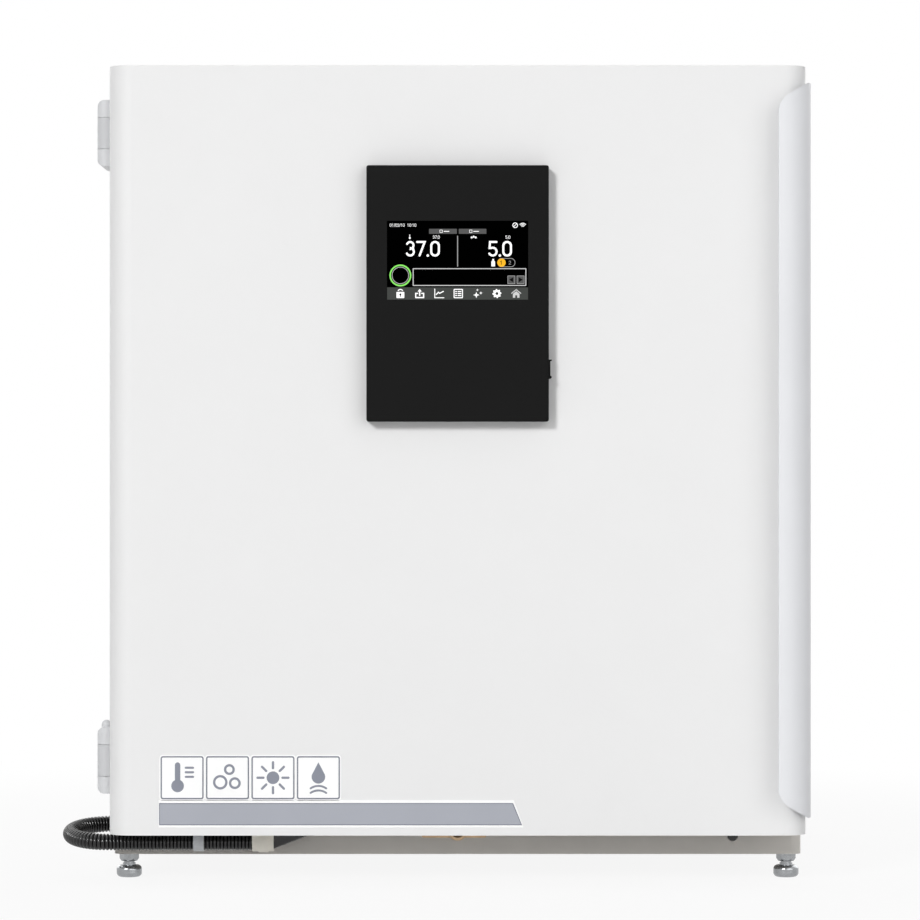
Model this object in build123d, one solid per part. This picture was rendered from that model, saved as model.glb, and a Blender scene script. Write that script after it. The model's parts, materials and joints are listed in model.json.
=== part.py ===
from build123d import *
import math
import os

# A bench-standing carbon dioxide incubator. A heated chamber with shelves and a water pan
# sits inside an insulated cabinet on four levelling feet. A glass inner door closes the
# chamber, and a thick outer door with a full-height grip and a touch panel closes the front.
# The outer door swings on two fork hinges outside the cabinet's left side, and its wiring
# crosses the hinge in a corrugated conduit that loops round the cabinet's lower left corner.
#
# Working frame: X = 0 is the cabinet's mid-plane, Y = 0 its front plane with +Y to the rear,
# Z = 0 the floor. Everything is shifted once, on export, so that the origin is the middle of
# the footprint. All sizes are in millimetres.

# Chamber, which sets the outside size through its walls
CHAMBER_WIDTH = 643.0
CHAMBER_HEIGHT = 700.0
CHAMBER_DEPTH = 523.0
CHAMBER_CORNER = 25.0
CHAMBER_SHEET = 1.2
MOUTH_SETBACK = 22.0
SIDE_WALL = 63.5
TOP_WALL = 63.0
FLOOR_WALL = 46.0
REAR_WALL = 52.0
SERVICE_DEPTH = 53.0

# Cabinet sheet metal
SHEET = 1.2
CABINET_CORNER = 12.0
TOP_SKIRT = 12.0
SEAM = 0.4
FIT = 0.3
BASE_HEIGHT = 68.0
BASE_SHEET = 1.5
FRAME_FLANGE = 30.5

# Base fittings seen under the door
SERVICE_HOLE = 11.0
SERVICE_Z = 26.0
PLATE_LEFT = 40.0
PLATE_RIGHT = 32.0
PLATE_BELOW = 7.5
PLATE_ABOVE = 18.0
PLUG_X = 308.0
PLUG_RADIUS = 5.0
PLUG_Z = 20.5
PLUG_RIM = 0.8
SWITCH_X = 250.0
SWITCH_RADIUS = 3.0
SWITCH_Z = 32.0
SWITCH_BODY = 24.0
WELD_NUT_RADIUS = 11.0
WELD_NUT_HEIGHT = 14.0

# Outer door
DOOR_THICKNESS = 72.0
DOOR_GAP = 8.0
DOOR_CORNER = 26.0
DOOR_BELOW_BASE_TOP = 40.0
DOOR_BELOW_ROOF = 1.0
LINER = 4.0
CAP_HEIGHT = 8.0
PLATEAU_RISE = 4.0
PLATEAU_INSET = 45.0
GASKET_WIDTH = 15.0

# Grip on the outer door's free edge
GRIP_LENGTH = 808.0
GRIP_RADIUS = 38.5
GRIP_WALL = 4.5
GRIP_FLANGE = 50.0
GRIP_SETBACK = 10.0
GRIP_END_RUN = 22.0
GRIP_END_RISE = 13.5

# Touch panel on the outer door
PANEL_WIDTH = 200.0
PANEL_HEIGHT = 281.0
PANEL_DEPTH = 20.0
PANEL_TOP_DROP = 111.5
PANEL_CORNER = 2.5
PANEL_WALL = 2.0
PANEL_RIM = 1.2
FASCIA = 1.2
SCREEN_WIDTH = 154.6
SCREEN_HEIGHT = 86.5
SCREEN_TOP_DROP = 61.0
PORT_COVER_HEIGHT = 21.0
PORT_COVER_RISE = 47.0
BOARD = 1.6
STANDOFF = 3.0
EAR = 1.6
PORT_PIN = 0.7
PORT_PIN_RISE = 1.7
PORT_PIN_OUT = 1.7

# Outer door hinges
HINGE_OFFSET = 8.5
HINGE_HEIGHT = 74.0
HINGE_COVER_RADIUS = 9.8
HINGE_COVER_DEPTH = 76.0
HINGE_COVER_WALL = 2.0
HINGE_BELOW_ROOF = 70.0
HINGE_ABOVE_BASE = 37.4
KNUCKLE_HEIGHT = 35.0
LUG_RADIUS = 6.5
PIN_RADIUS = 4.0
ADJUSTER_RADIUS = 5.2
RUNNING = 0.05
LEAF = 2.5

# Levelling feet
FOOT_HEIGHT = 28.0
FOOT_INSET = 15.0
FOOT_INSET_DEPTH = 28.0
PAD_RADIUS = 14.25
PAD_HEIGHT = 13.5
STUD_RADIUS = 6.0
NUT_FLATS = 19.0
NUT_HEIGHT = 8.0
WASHER = 2.0

# Wiring conduit across the hinge
CONDUIT_RADIUS = 9.25
CONDUIT_LOOP = 45.0
CONDUIT_FRONT = 16.0
CONDUIT_BELOW_DOOR = 13.0
CONDUIT_DROP = 12.5
GLAND_REACH = 5.0
GLAND_NECK = 10.9
RUN_LENGTH = 175.0
BOOT_LENGTH = 52.0
CLIP_WIDTH = 11.6
CLIP_FROM_END = 78.0
FITTING_WIDTH = 24.0

# Glass inner door
GLASS = 5.0
GLASS_MARGIN = 20.0
GLASS_SEAL = 4.0
GLASS_PIVOT_OUT = 3.5
GLASS_PIVOT_FORWARD = 5.0
GLASS_CLAMP = 40.0
GLASS_HINGE_FROM_END = 80.0
LATCH_REACH = 36.0
LATCH_INSET = 30.0
LATCH_THICKNESS = 3.0

# Shelves, racks and water pan
SHELF_COUNT = 3
SHELF_BACK_GAP = 5.0
SHELF_HEIGHT = 12.0
SHELF_SIDE_GAP = 11.5
SHELF_FIRST = 108.0
SHELF_FRONT = 38.0
SLOT_COLUMNS = 9
SLOT_ROWS = 6
RAIL_REACH = 18.0
PAN_WIDTH = 480.0
PAN_DEPTH = 350.0
PAN_HEIGHT = 60.0
PAN_WALL = 1.5

# Air duct, fan and lamp
DUCT_WIDTH = 300.0
DUCT_DEPTH = 30.0
DUCT_END_GAP = 22.0
FAN_RADIUS = 55.0
FAN_WIDTH = 19.0
FAN_BLADES = 14
INTAKE_SLOTS = 14
FAN_BELOW_CEILING = 115.0
SHAFT_RADIUS = 3.0
MOTOR_RADIUS = 38.0
LAMP_RADIUS = 8.0
LAMP_LENGTH = 220.0
LAMP_RISE = 45.0

# Rear fittings
PORT_BORE = 15.0
PORT_WALL = 3.0
PORT_X = -235.0
PORT_BELOW_CEILING = 72.0
PORT_LIP = 3.0
STOPPER_LENGTH = 28.0
SPIGOT_RADIUS = 3.0
SPIGOT_LENGTH = 16.0
INLET_BODY = 8.0
ANCHOR_X = 300.0
ANCHOR_HOLE = 4.5
ANCHOR_PLATE = 3.0

# Places worked out from the sizes above
width = CHAMBER_WIDTH + 2 * SIDE_WALL
half = width / 2
base_top = FOOT_HEIGHT + BASE_HEIGHT
floor_z = base_top + FLOOR_WALL
ceiling_z = floor_z + CHAMBER_HEIGHT
height = ceiling_z + TOP_WALL
skirt_z = height - TOP_SKIRT
chamber_rear = MOUTH_SETBACK + CHAMBER_DEPTH
wall_rear = chamber_rear + REAR_WALL
cabinet_rear = wall_rear + SERVICE_DEPTH
chamber_half = CHAMBER_WIDTH / 2

land_half = half - CABINET_CORNER - SEAM
collar_half = chamber_half + FRAME_FLANGE
collar_low = floor_z - FRAME_FLANGE
collar_high = ceiling_z + FRAME_FLANGE

door_rear = -DOOR_GAP
door_front = door_rear - DOOR_THICKNESS
door_low = base_top - DOOR_BELOW_BASE_TOP
door_high = height - DOOR_BELOW_ROOF
door_mid = (door_low + door_high) / 2
liner_front = door_rear - LINER

hinge_x = -half - HINGE_OFFSET
upper_hinge_z = height - HINGE_BELOW_ROOF
lower_hinge_z = base_top + HINGE_ABOVE_BASE

panel_front = door_front - PANEL_DEPTH
panel_top = door_high - PANEL_TOP_DROP
panel_low = panel_top - PANEL_HEIGHT
screen_top = panel_top - SCREEN_TOP_DROP
screen_low = screen_top - SCREEN_HEIGHT
port_cover_low = panel_low + PORT_COVER_RISE
board_front = door_front - PANEL_WALL - STANDOFF - BOARD

glass_rear = MOUTH_SETBACK - GLASS_SEAL
glass_front = glass_rear - GLASS
glass_half = chamber_half + GLASS_MARGIN
glass_low = floor_z - GLASS_MARGIN
glass_high = ceiling_z + GLASS_MARGIN
glass_pivot_x = -glass_half - GLASS_PIVOT_OUT
glass_pivot_y = glass_front - GLASS_PIVOT_FORWARD

shelf_half = chamber_half - SHELF_SIDE_GAP
shelf_front = MOUTH_SETBACK + SHELF_FRONT
duct_front = chamber_rear - DUCT_DEPTH
shelf_rear = duct_front - SHELF_BACK_GAP
shelf_depth = shelf_rear - shelf_front
shelf_pitch = (CHAMBER_HEIGHT - SHELF_FIRST) / (SHELF_COUNT + 0.1)
shelf_levels = [floor_z + SHELF_FIRST + i * shelf_pitch for i in range(SHELF_COUNT)]

conduit_y = -CONDUIT_FRONT
conduit_z = door_low - CONDUIT_BELOW_DOOR
gland_y = conduit_y + 2 * CONDUIT_LOOP
gland_z = conduit_z + CONDUIT_DROP
gland_face = -half - GLAND_REACH
loop_end = -half + GLAND_REACH
run_end = loop_end + RUN_LENGTH

fan_z = ceiling_z - FAN_BELOW_CEILING
port_z = ceiling_z - PORT_BELOW_CEILING


def span(x0, x1, y0, y1, z0, z1):
    """A block between two opposite corners."""
    centre = ((x0 + x1) / 2, (y0 + y1) / 2, (z0 + z1) / 2)
    return Pos(*centre) * Box(x1 - x0, y1 - y0, z1 - z0)


def rod_x(y, z, x0, x1, r):
    return Pos((x0 + x1) / 2, y, z) * Rot(0, 90, 0) * Cylinder(r, x1 - x0)


def rod_y(x, z, y0, y1, r):
    return Pos(x, (y0 + y1) / 2, z) * Rot(90, 0, 0) * Cylinder(r, y1 - y0)


def rod_z(x, y, z0, z1, r):
    return Pos(x, y, (z0 + z1) / 2) * Cylinder(r, z1 - z0)


def plan_block(x0, x1, y0, y1, z0, z1, front_r, rear_r=0.0):
    """A block with upright edges rounded, as a folded sheet or a moulded box is in plan."""
    solid = span(x0, x1, y0, y1, z0, z1)
    if front_r > 0:
        solid = fillet(solid.edges().filter_by(Axis.Z).group_by(Axis.Y)[0], front_r)
    if rear_r > 0:
        solid = fillet(solid.edges().filter_by(Axis.Z).group_by(Axis.Y)[-1], rear_r)
    return solid


def face_block(x0, x1, y0, y1, z0, z1, r):
    """A block with its four front-to-rear edges rounded, as a framed panel is from the front."""
    return fillet(span(x0, x1, y0, y1, z0, z1).edges().filter_by(Axis.Y), r)


def face_ring(outer_half, outer_z, inner_half, inner_z, y0, y1, outer_r, inner_r):
    """A flat rectangular ring in the XZ plane."""
    outer = face_block(-outer_half, outer_half, y0, y1, *outer_z, outer_r)
    inner = face_block(-inner_half, inner_half, y0 - 1, y1 + 1, *inner_z, inner_r)
    return outer - inner


def slot_y(x, z, length, slot_width, y0, y1):
    """A round-ended slot along X, cut through from front to rear."""
    reach = (length - slot_width) / 2
    bar = span(x - reach, x + reach, y0, y1, z - slot_width / 2, z + slot_width / 2)
    ends = [rod_y(x + side * reach, z, y0, y1, slot_width / 2) for side in (-1, 1)]
    return bar + ends[0] + ends[1]


# Cabinet sheet metal


def foot_places():
    xs = (-half + FOOT_INSET, half - FOOT_INSET)
    ys = (FOOT_INSET_DEPTH, cabinet_rear - FOOT_INSET_DEPTH)
    return [(x, y) for y in ys for x in xs]


def base_pan():
    """The bottom tray: a rounded rim seen under the door, and bosses for the feet."""
    outer = plan_block(-half, half, 0, cabinet_rear, FOOT_HEIGHT, base_top, CABINET_CORNER, CABINET_CORNER)
    t = BASE_SHEET
    inner_r = CABINET_CORNER - t
    hollow = plan_block(
        -half + t, half - t, t, cabinet_rear - t, FOOT_HEIGHT + t, base_top + 1, inner_r, inner_r
    )
    pan = outer - hollow
    for x, y in foot_places():
        pan += rod_z(x, y, FOOT_HEIGHT, FOOT_HEIGHT + WELD_NUT_HEIGHT, WELD_NUT_RADIUS)
        pan -= rod_z(x, y, FOOT_HEIGHT - 1, FOOT_HEIGHT + WELD_NUT_HEIGHT + 1, STUD_RADIUS + RUNNING)
    pan -= rod_y(0, FOOT_HEIGHT + SERVICE_Z, -1, t + 1, SERVICE_HOLE)
    pan -= rod_y(PLUG_X, FOOT_HEIGHT + PLUG_Z, -1, t + 1, PLUG_RADIUS + RUNNING)
    pan -= rod_y(SWITCH_X, FOOT_HEIGHT + SWITCH_Z, -1, t + 1, SWITCH_RADIUS + FIT)
    pan -= rod_x(gland_y, gland_z, -half - 1, -half + t + 1, GLAND_NECK + RUNNING)
    for x in (-half / 2, half / 2):
        for i in range(5):
            y = cabinet_rear * (0.3 + 0.1 * i)
            vent = Pos(x, y, FOOT_HEIGHT + t / 2) * extrude(SlotOverall(90, 8), t + 2, both=True)
            pan -= vent
    return pan


def cabinet_tube(z0, z1):
    """The cabinet's outer wall as a thin upright tube."""
    t = SHEET
    outer = plan_block(-half, half, 0, cabinet_rear, z0, z1, CABINET_CORNER, CABINET_CORNER)
    inner_r = CABINET_CORNER - t
    inner = plan_block(-half + t, half - t, t, cabinet_rear - t, z0 - 1, z1 + 1, inner_r, inner_r)
    return outer - inner


def side_panel(side):
    """One side wall, folded round the front and rear corners."""
    tube = cabinet_tube(base_top + SEAM, skirt_z - SEAM)
    inner = half - CABINET_CORNER
    low, high = sorted((side * (half + 1), side * inner))
    return tube & span(low, high, -1, cabinet_rear + 1, base_top, height)


def top_panel():
    """The roof, with a short skirt that meets the side panels."""
    outer = plan_block(-half, half, 0, cabinet_rear, skirt_z, height, CABINET_CORNER, CABINET_CORNER)
    t = SHEET
    inner_r = CABINET_CORNER - t
    inner = plan_block(
        -half + t, half - t, t, cabinet_rear - t, skirt_z - 1, height - t, inner_r, inner_r
    )
    lid = outer - inner
    return fillet(lid.faces().sort_by(Axis.Z)[-1].outer_wire().edges(), SHEET * 0.6)


def rear_panel():
    """The removable back sheet, with its vents and its holes for the fittings."""
    y0, y1 = cabinet_rear - SHEET, cabinet_rear
    sheet = span(-land_half, land_half, y0, y1, base_top + SEAM, skirt_z - SEAM)
    sheet -= rod_y(PORT_X, port_z, y0 - 1, y1 + 1, PORT_BORE + PORT_WALL + FIT)
    for x in gas_inlet_xs():
        sheet -= rod_y(x, gas_inlet_z(), y0 - 1, y1 + 1, INLET_BODY + RUNNING)
    x0, x1, z0, z1 = socket_box()
    sheet -= span(x0 - RUNNING, x1 + RUNNING, y0 - 1, y1 + 1, z0 - RUNNING, z1 + RUNNING)
    for i in range(6):
        sheet -= slot_y(0, base_top + 60 + i * 16, 160, 6, y0 - 1, y1 + 1)
    return sheet


def front_frame():
    """The painted face round the chamber's mouth, with a collar back to the chamber."""
    low, high = base_top + SEAM, skirt_z - SEAM
    t = BASE_SHEET
    face = span(-land_half, land_half, 0, t, low, high)
    collar = span(-collar_half - t, collar_half + t, 0, MOUTH_SETBACK, collar_low - t, collar_high + t)
    opening = span(-collar_half, collar_half, -1, MOUTH_SETBACK + 1, collar_low, collar_high)
    return face + collar - opening


def chamber():
    """The stainless inner box, with rounded corners and a flange at its mouth."""
    t = CHAMBER_SHEET
    r = CHAMBER_CORNER

    def box(grow, y0, y1, rear_r):
        reach = chamber_half + grow
        solid = face_block(-reach, reach, y0, y1, floor_z - grow, ceiling_z + grow, r + grow)
        return fillet(solid.faces().sort_by(Axis.Y)[-1].outer_wire().edges(), rear_r)

    outer = box(t, MOUTH_SETBACK, chamber_rear + t, r * 0.6 + t)
    inner = box(0, MOUTH_SETBACK - 1, chamber_rear, r * 0.6)
    lap = BASE_SHEET
    flange = span(
        -collar_half - lap, collar_half + lap, MOUTH_SETBACK, MOUTH_SETBACK + t,
        collar_low - lap, collar_high + lap,
    )
    shell = outer + flange - inner
    shell -= rod_y(PORT_X, port_z, chamber_rear - 1, chamber_rear + t + 1, PORT_BORE + PORT_WALL + RUNNING)
    shell -= rod_y(0, fan_z, chamber_rear - 1, chamber_rear + t + 1, SHAFT_RADIUS + 4)
    return shell


def insulation_jacket():
    """The insulation that fills the wall between the cabinet and the chamber."""
    gap = SHEET + FIT
    r = CABINET_CORNER - gap
    low = base_top + FIT
    block = plan_block(-half + gap, half - gap, BASE_SHEET + FIT, wall_rear, low, height - gap, r)
    notch = FIT + BASE_SHEET
    block -= span(
        -collar_half - notch, collar_half + notch, -1, MOUTH_SETBACK + CHAMBER_SHEET + FIT,
        collar_low - notch, collar_high + notch,
    )
    room = CHAMBER_SHEET + FIT
    reach = chamber_half + room
    block -= face_block(
        -reach, reach, 0, chamber_rear + room, floor_z - room, ceiling_z + room, CHAMBER_CORNER
    )
    block -= rod_y(PORT_X, port_z, chamber_rear, wall_rear + 1, PORT_BORE + PORT_WALL + FIT)
    block -= rod_y(0, fan_z, chamber_rear, wall_rear + 1, SHAFT_RADIUS + 5)
    return block


# Base fittings seen under the door


def service_plate():
    """A small pressed plate round the service opening in the base's front."""
    z = FOOT_HEIGHT + SERVICE_Z
    plate = face_block(-PLATE_LEFT, PLATE_RIGHT, -BASE_SHEET, 0, z - PLATE_BELOW, z + PLATE_ABOVE, 2.0)
    return plate - rod_y(0, z, -BASE_SHEET - 1, 1, SERVICE_HOLE)


def service_cap():
    """The dished metal cap that closes the service opening."""
    z = FOOT_HEIGHT + SERVICE_Z
    r = SERVICE_HOLE - FIT
    cap = rod_y(0, z, -BASE_SHEET, BASE_SHEET * 3, r)
    return cap - Pos(0, -BASE_SHEET - r * 0.9, z) * Sphere(r * 1.15)


def base_plug():
    z = FOOT_HEIGHT + PLUG_Z
    head = rod_y(PLUG_X, z, -BASE_SHEET * PLUG_RIM, 0, PLUG_RADIUS + PLUG_RIM)
    return head + rod_y(PLUG_X, z, 0, BASE_SHEET + 3, PLUG_RADIUS)


def door_switch():
    """The switch behind the base's front wall that feels the outer door."""
    z = FOOT_HEIGHT + SWITCH_Z
    reach, high = SWITCH_BODY / 2, SWITCH_BODY * 0.375
    body = span(SWITCH_X - reach, SWITCH_X + reach, BASE_SHEET, BASE_SHEET + SWITCH_BODY, z - high, z + high)
    return body - rod_y(SWITCH_X, z, BASE_SHEET - 1, BASE_SHEET + SWITCH_BODY * 0.67, SWITCH_RADIUS + FIT)


def switch_plunger():
    z = FOOT_HEIGHT + SWITCH_Z
    rod = rod_y(SWITCH_X, z, door_rear + FIT, BASE_SHEET + 11, SWITCH_RADIUS)
    return fillet(rod.edges().sort_by(Axis.Y)[0], SWITCH_RADIUS * 0.6)


# Levelling feet


def foot(x, y):
    """A turned pad on a stud, which screws up and down in the base's boss."""
    pad = rod_z(x, y, 0, PAD_HEIGHT, PAD_RADIUS)
    top = pad.faces().sort_by(Axis.Z)[-1].edges()
    bottom = pad.faces().sort_by(Axis.Z)[0].edges()
    pad = fillet(top + bottom, PAD_HEIGHT * 0.36)
    nut_low = FOOT_HEIGHT - WASHER - NUT_HEIGHT
    neck = rod_z(x, y, PAD_HEIGHT - 1, (PAD_HEIGHT + nut_low) / 2, STUD_RADIUS * 1.2)
    return pad + neck + rod_z(x, y, PAD_HEIGHT, FOOT_HEIGHT + WELD_NUT_HEIGHT + 22, STUD_RADIUS)


def lock_nut(x, y):
    """A chamfered hexagon nut under a plain washer, bored for the stud."""
    low = FOOT_HEIGHT - WASHER - NUT_HEIGHT
    prism = Pos(x, y, low) * extrude(RegularPolygon(NUT_FLATS / 2, 6, major_radius=False), NUT_HEIGHT)
    cone = Pos(x, y, low + NUT_HEIGHT / 2) * Cone(NUT_FLATS * 0.47, NUT_FLATS * 0.76, NUT_HEIGHT)
    nut = prism & cone
    washer = rod_z(x, y, FOOT_HEIGHT - WASHER, FOOT_HEIGHT, NUT_FLATS * 0.56)
    bore = rod_z(x, y, low - 1, FOOT_HEIGHT + 1, STUD_RADIUS + RUNNING)
    return [nut - bore, washer - bore]


# Outer door


def door_skin():
    """The painted outer skin, folded round both upright edges and open behind."""
    t = SHEET
    outer = plan_block(-half, half, door_front, liner_front, door_low, door_high, DOOR_CORNER)
    inner = plan_block(
        -half + t, half - t, door_front + t, liner_front + 1, door_low - 1, door_high + 1, DOOR_CORNER - t
    )
    skin = outer - inner
    cable_hole = rod_y(0, panel_low + PANEL_HEIGHT / 2, door_front - 1, door_front + t + 1, 18)
    return skin - cable_hole


def door_cap(top):
    """A moulded cap that closes the skin's top or bottom end."""
    t = SHEET + RUNNING
    z0, z1 = (door_high - CAP_HEIGHT, door_high) if top else (door_low, door_low + CAP_HEIGHT)
    cap = plan_block(-half + t, half - t, door_front + t, liner_front, z0, z1, DOOR_CORNER - t)
    if not top:
        cap -= rod_z(boot_x(), conduit_y, z0 - 1, z1 + 1, CONDUIT_RADIUS * 0.8)
    return cap


def door_insulation():
    gap = SHEET + FIT
    z0, z1 = door_low + CAP_HEIGHT + FIT, door_high - CAP_HEIGHT - FIT
    return plan_block(
        -half + gap, half - gap, door_front + gap, liner_front - FIT, z0, z1, DOOR_CORNER - gap
    )


def door_liner():
    """The moulded rear panel of the door, with a raised field opposite the glass door."""
    sheet = face_block(-half, half, liner_front, door_rear, door_low, door_high, 3.0)
    reach = half - PLATEAU_INSET
    low, high = collar_low + GASKET_WIDTH, collar_high - GASKET_WIDTH
    field = face_block(-reach, reach, door_rear - 1, door_rear + PLATEAU_RISE, low, high, 18.0)
    field = fillet(field.faces().sort_by(Axis.Y)[-1].outer_wire().edges(), PLATEAU_RISE * 0.7)
    t = LINER * 0.6
    back = face_block(
        -reach + t, reach - t, liner_front - 1, door_rear + PLATEAU_RISE - t, low + t, high - t, 16.0
    )
    return sheet + field - back


def door_gasket():
    """The magnetic seal: a rectangular frame with a bellows groove round its middle."""
    outer_half = land_half - 1.5
    outer_z = (collar_low - GASKET_WIDTH, collar_high + GASKET_WIDTH)
    inner_z = (collar_low, collar_high)
    inner_half = outer_half - GASKET_WIDTH
    y0, y1 = door_rear, -FIT
    ring = face_ring(outer_half, outer_z, inner_half, inner_z, y0, y1, 4.0, 2.0)
    mid = (y0 + y1) / 2
    depth = GASKET_WIDTH * 0.18
    groove_z = (outer_z[0] + depth, outer_z[1] - depth)
    groove = face_ring(outer_half + 1, (outer_z[0] - 1, outer_z[1] + 1), outer_half - depth, groove_z,
                       mid - 0.8, mid + 0.8, 4.0, 4.0)
    return ring - groove


def grip_section():
    """The grip in plan: a quarter-round blade that stands off the door, and its side flange."""
    cx = half + GRIP_WALL - GRIP_RADIUS
    cy = door_front + GRIP_SETBACK
    blade = Circle(GRIP_RADIUS) - Circle(GRIP_RADIUS - GRIP_WALL)
    quarter = Pos(GRIP_RADIUS / 2, -GRIP_RADIUS / 2) * Rectangle(GRIP_RADIUS, GRIP_RADIUS)
    flange = Pos(GRIP_RADIUS - GRIP_WALL / 2, GRIP_FLANGE / 2) * Rectangle(GRIP_WALL, GRIP_FLANGE)
    section = (blade & quarter) + flange
    tips = section.vertices().sort_by(Axis.X)[:2]
    section = fillet(tips, GRIP_WALL * 0.35)
    return Pos(cx, cy) * section


def grip_outline():
    """The grip from the front: its ends rise in a curve and a slope towards the door's edge."""
    left = half + GRIP_WALL - GRIP_RADIUS - SEAM
    right = half + GRIP_WALL + SEAM
    top = GRIP_LENGTH / 2
    slope_x = half - GRIP_END_RUN
    slope_z = top - GRIP_END_RISE
    slope = math.atan2(GRIP_END_RISE, GRIP_END_RUN)
    knee_z = slope_z - (slope_x - left) * math.tan((math.pi / 2 + slope) / 2)
    with BuildSketch(Plane.XZ) as sketch:
        with BuildLine():
            for end in (1, -1):
                Line((left, 0), (left, end * knee_z))
                TangentArc((left, end * knee_z), (slope_x, end * slope_z), tangent=(0, end))
                Line((slope_x, end * slope_z), (half, end * top))
                Line((half, end * top), (right, end * top))
                Line((right, end * top), (right, 0))
        make_face()
    return sketch.sketch


def door_grip():
    section = Pos(0, 0, door_mid - GRIP_LENGTH / 2) * extrude(grip_section(), GRIP_LENGTH)
    outline = Pos(0, 0, door_mid) * extrude(grip_outline(), 2 * (DOOR_THICKNESS + GRIP_RADIUS), both=True)
    return section & outline


# Touch panel


def panel_housing():
    """The black box on the door's face, open in front for the fascia and at one side for a port."""
    reach = PANEL_WIDTH / 2
    outer = face_block(-reach, reach, panel_front, door_front, panel_low, panel_top, PANEL_CORNER)
    outer = fillet(outer.faces().sort_by(Axis.Y)[0].outer_wire().edges(), 0.6)
    w = PANEL_WALL
    hollow = span(-reach + w, reach - w, panel_front - 1, door_front - w, panel_low + w, panel_top - w)
    seat = span(
        -reach + PANEL_RIM, reach - PANEL_RIM, panel_front - 1, panel_front + FASCIA,
        panel_low + PANEL_RIM, panel_top - PANEL_RIM,
    )
    z = port_cover_low + PORT_COVER_HEIGHT / 2
    port = span(reach - w - 1, reach + 1, *port_socket_y(), z - 7, z + 7)
    housing = outer - hollow - seat - port
    z = port_cover_low + PORT_PIN_RISE
    for y0 in (panel_front + 1, door_front - 1 - EAR):
        housing += span(reach, reach + PORT_PIN_OUT, y0, y0 + EAR, z - 1.5, z + 1.5)
        housing += rod_y(reach + PORT_PIN_OUT, z, y0, y0 + EAR, 1.5)
    return housing - rod_y(reach + PORT_PIN_OUT, z, panel_front, door_front - 0.5, PORT_PIN + RUNNING)


def port_socket_y():
    return board_front - 7, board_front


def panel_fascia():
    """The front sheet of the panel, with a window for the screen."""
    gap = PANEL_RIM + 0.1
    reach = PANEL_WIDTH / 2 - gap
    plate = span(-reach, reach, panel_front, panel_front + FASCIA, panel_low + gap, panel_top - gap)
    window = SCREEN_WIDTH / 2 + 0.1
    return plate - span(-window, window, panel_front - 1, panel_front + 3, screen_low - 0.1, screen_top + 0.1)


def screen_module():
    """The display, whose face lies just behind the fascia's face."""
    reach = SCREEN_WIDTH / 2
    face = span(-reach, reach, panel_front + 0.2, panel_front + 6, screen_low, screen_top)
    frame_y = panel_front + FASCIA + 0.1
    return face + span(-reach - 5, reach + 5, frame_y, frame_y + 5, screen_low - 6, screen_top + 4)


def panel_board():
    """The circuit board on standoffs at the back of the housing, with the data socket on it."""
    back = door_front - PANEL_WALL
    low, high = panel_low + 20, panel_low + 130
    reach = PANEL_WIDTH / 2
    board = span(8 - reach, reach - 8, board_front, board_front + BOARD, low, high)
    for x in (14 - reach, reach - 14):
        for z in (low + 6, high - 6):
            board += rod_y(x, z, back - STANDOFF, back, 2.5)
    z = port_cover_low + PORT_COVER_HEIGHT / 2
    y0, y1 = port_socket_y()
    gap = RUNNING * 2
    shell = span(reach - 16, reach - 0.2, y0 + gap, y1, z - 7 + gap, z + 7 - gap)
    return [board, shell - span(reach - 14, reach, y0 + 0.8, y1 - 0.8, z - 6.2, z + 6.2)]


def port_cover():
    """The flap over the socket, hinged along its lower edge, with a lip to lift it by."""
    reach = PANEL_WIDTH / 2
    low, high = port_cover_low, port_cover_low + PORT_COVER_HEIGHT
    y0, y1 = panel_front + 1 + EAR + FIT, door_front - 1 - EAR - FIT
    axis_z = low + PORT_PIN_RISE
    flap = span(reach + FIT, reach + PORT_PIN_OUT, y0, y1, axis_z, high)
    lip = span(reach + FIT, reach + 3.3, y0, y1, high - 1.4, high)
    barrel = rod_y(reach + PORT_PIN_OUT, axis_z, y0, y1, PORT_PIN_OUT - FIT)
    pin = rod_y(reach + PORT_PIN_OUT, axis_z, y0 - FIT - EAR, y1 + FIT + EAR, PORT_PIN)
    return flap + lip + barrel + pin


# Outer door hinges


def hinge_bracket(z):
    """A fork on the cabinet's side: two lugs that hold the pin's ends."""
    low, high = z - HINGE_HEIGHT / 2 + 6, z + HINGE_HEIGHT / 2 - 6
    plate = span(-half - 3, -half, 16, HINGE_COVER_DEPTH - 6, low, high)
    gap = KNUCKLE_HEIGHT / 2 + 1
    bracket = plate
    for z0, z1 in ((low, z - gap), (z + gap, high)):
        lug = rod_z(hinge_x, 0, z0, z1, LUG_RADIUS)
        arm = span(hinge_x - LUG_RADIUS, -half, 0, 24, z0, z1)
        bracket += lug + arm
    bracket -= rod_z(hinge_x, 0, low - 1, high + 1, PIN_RADIUS + RUNNING)
    for y in (40, 58):
        bracket -= rod_x(y, z, -half - 4, -half + 1, 3.2)
    return bracket


def hinge_pin(z):
    low, high = z - HINGE_HEIGHT / 2 + 6, z + HINGE_HEIGHT / 2 - 6
    return chamfer(rod_z(hinge_x, 0, low, high, PIN_RADIUS).edges().filter_by(GeomType.CIRCLE), 0.5)


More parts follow.
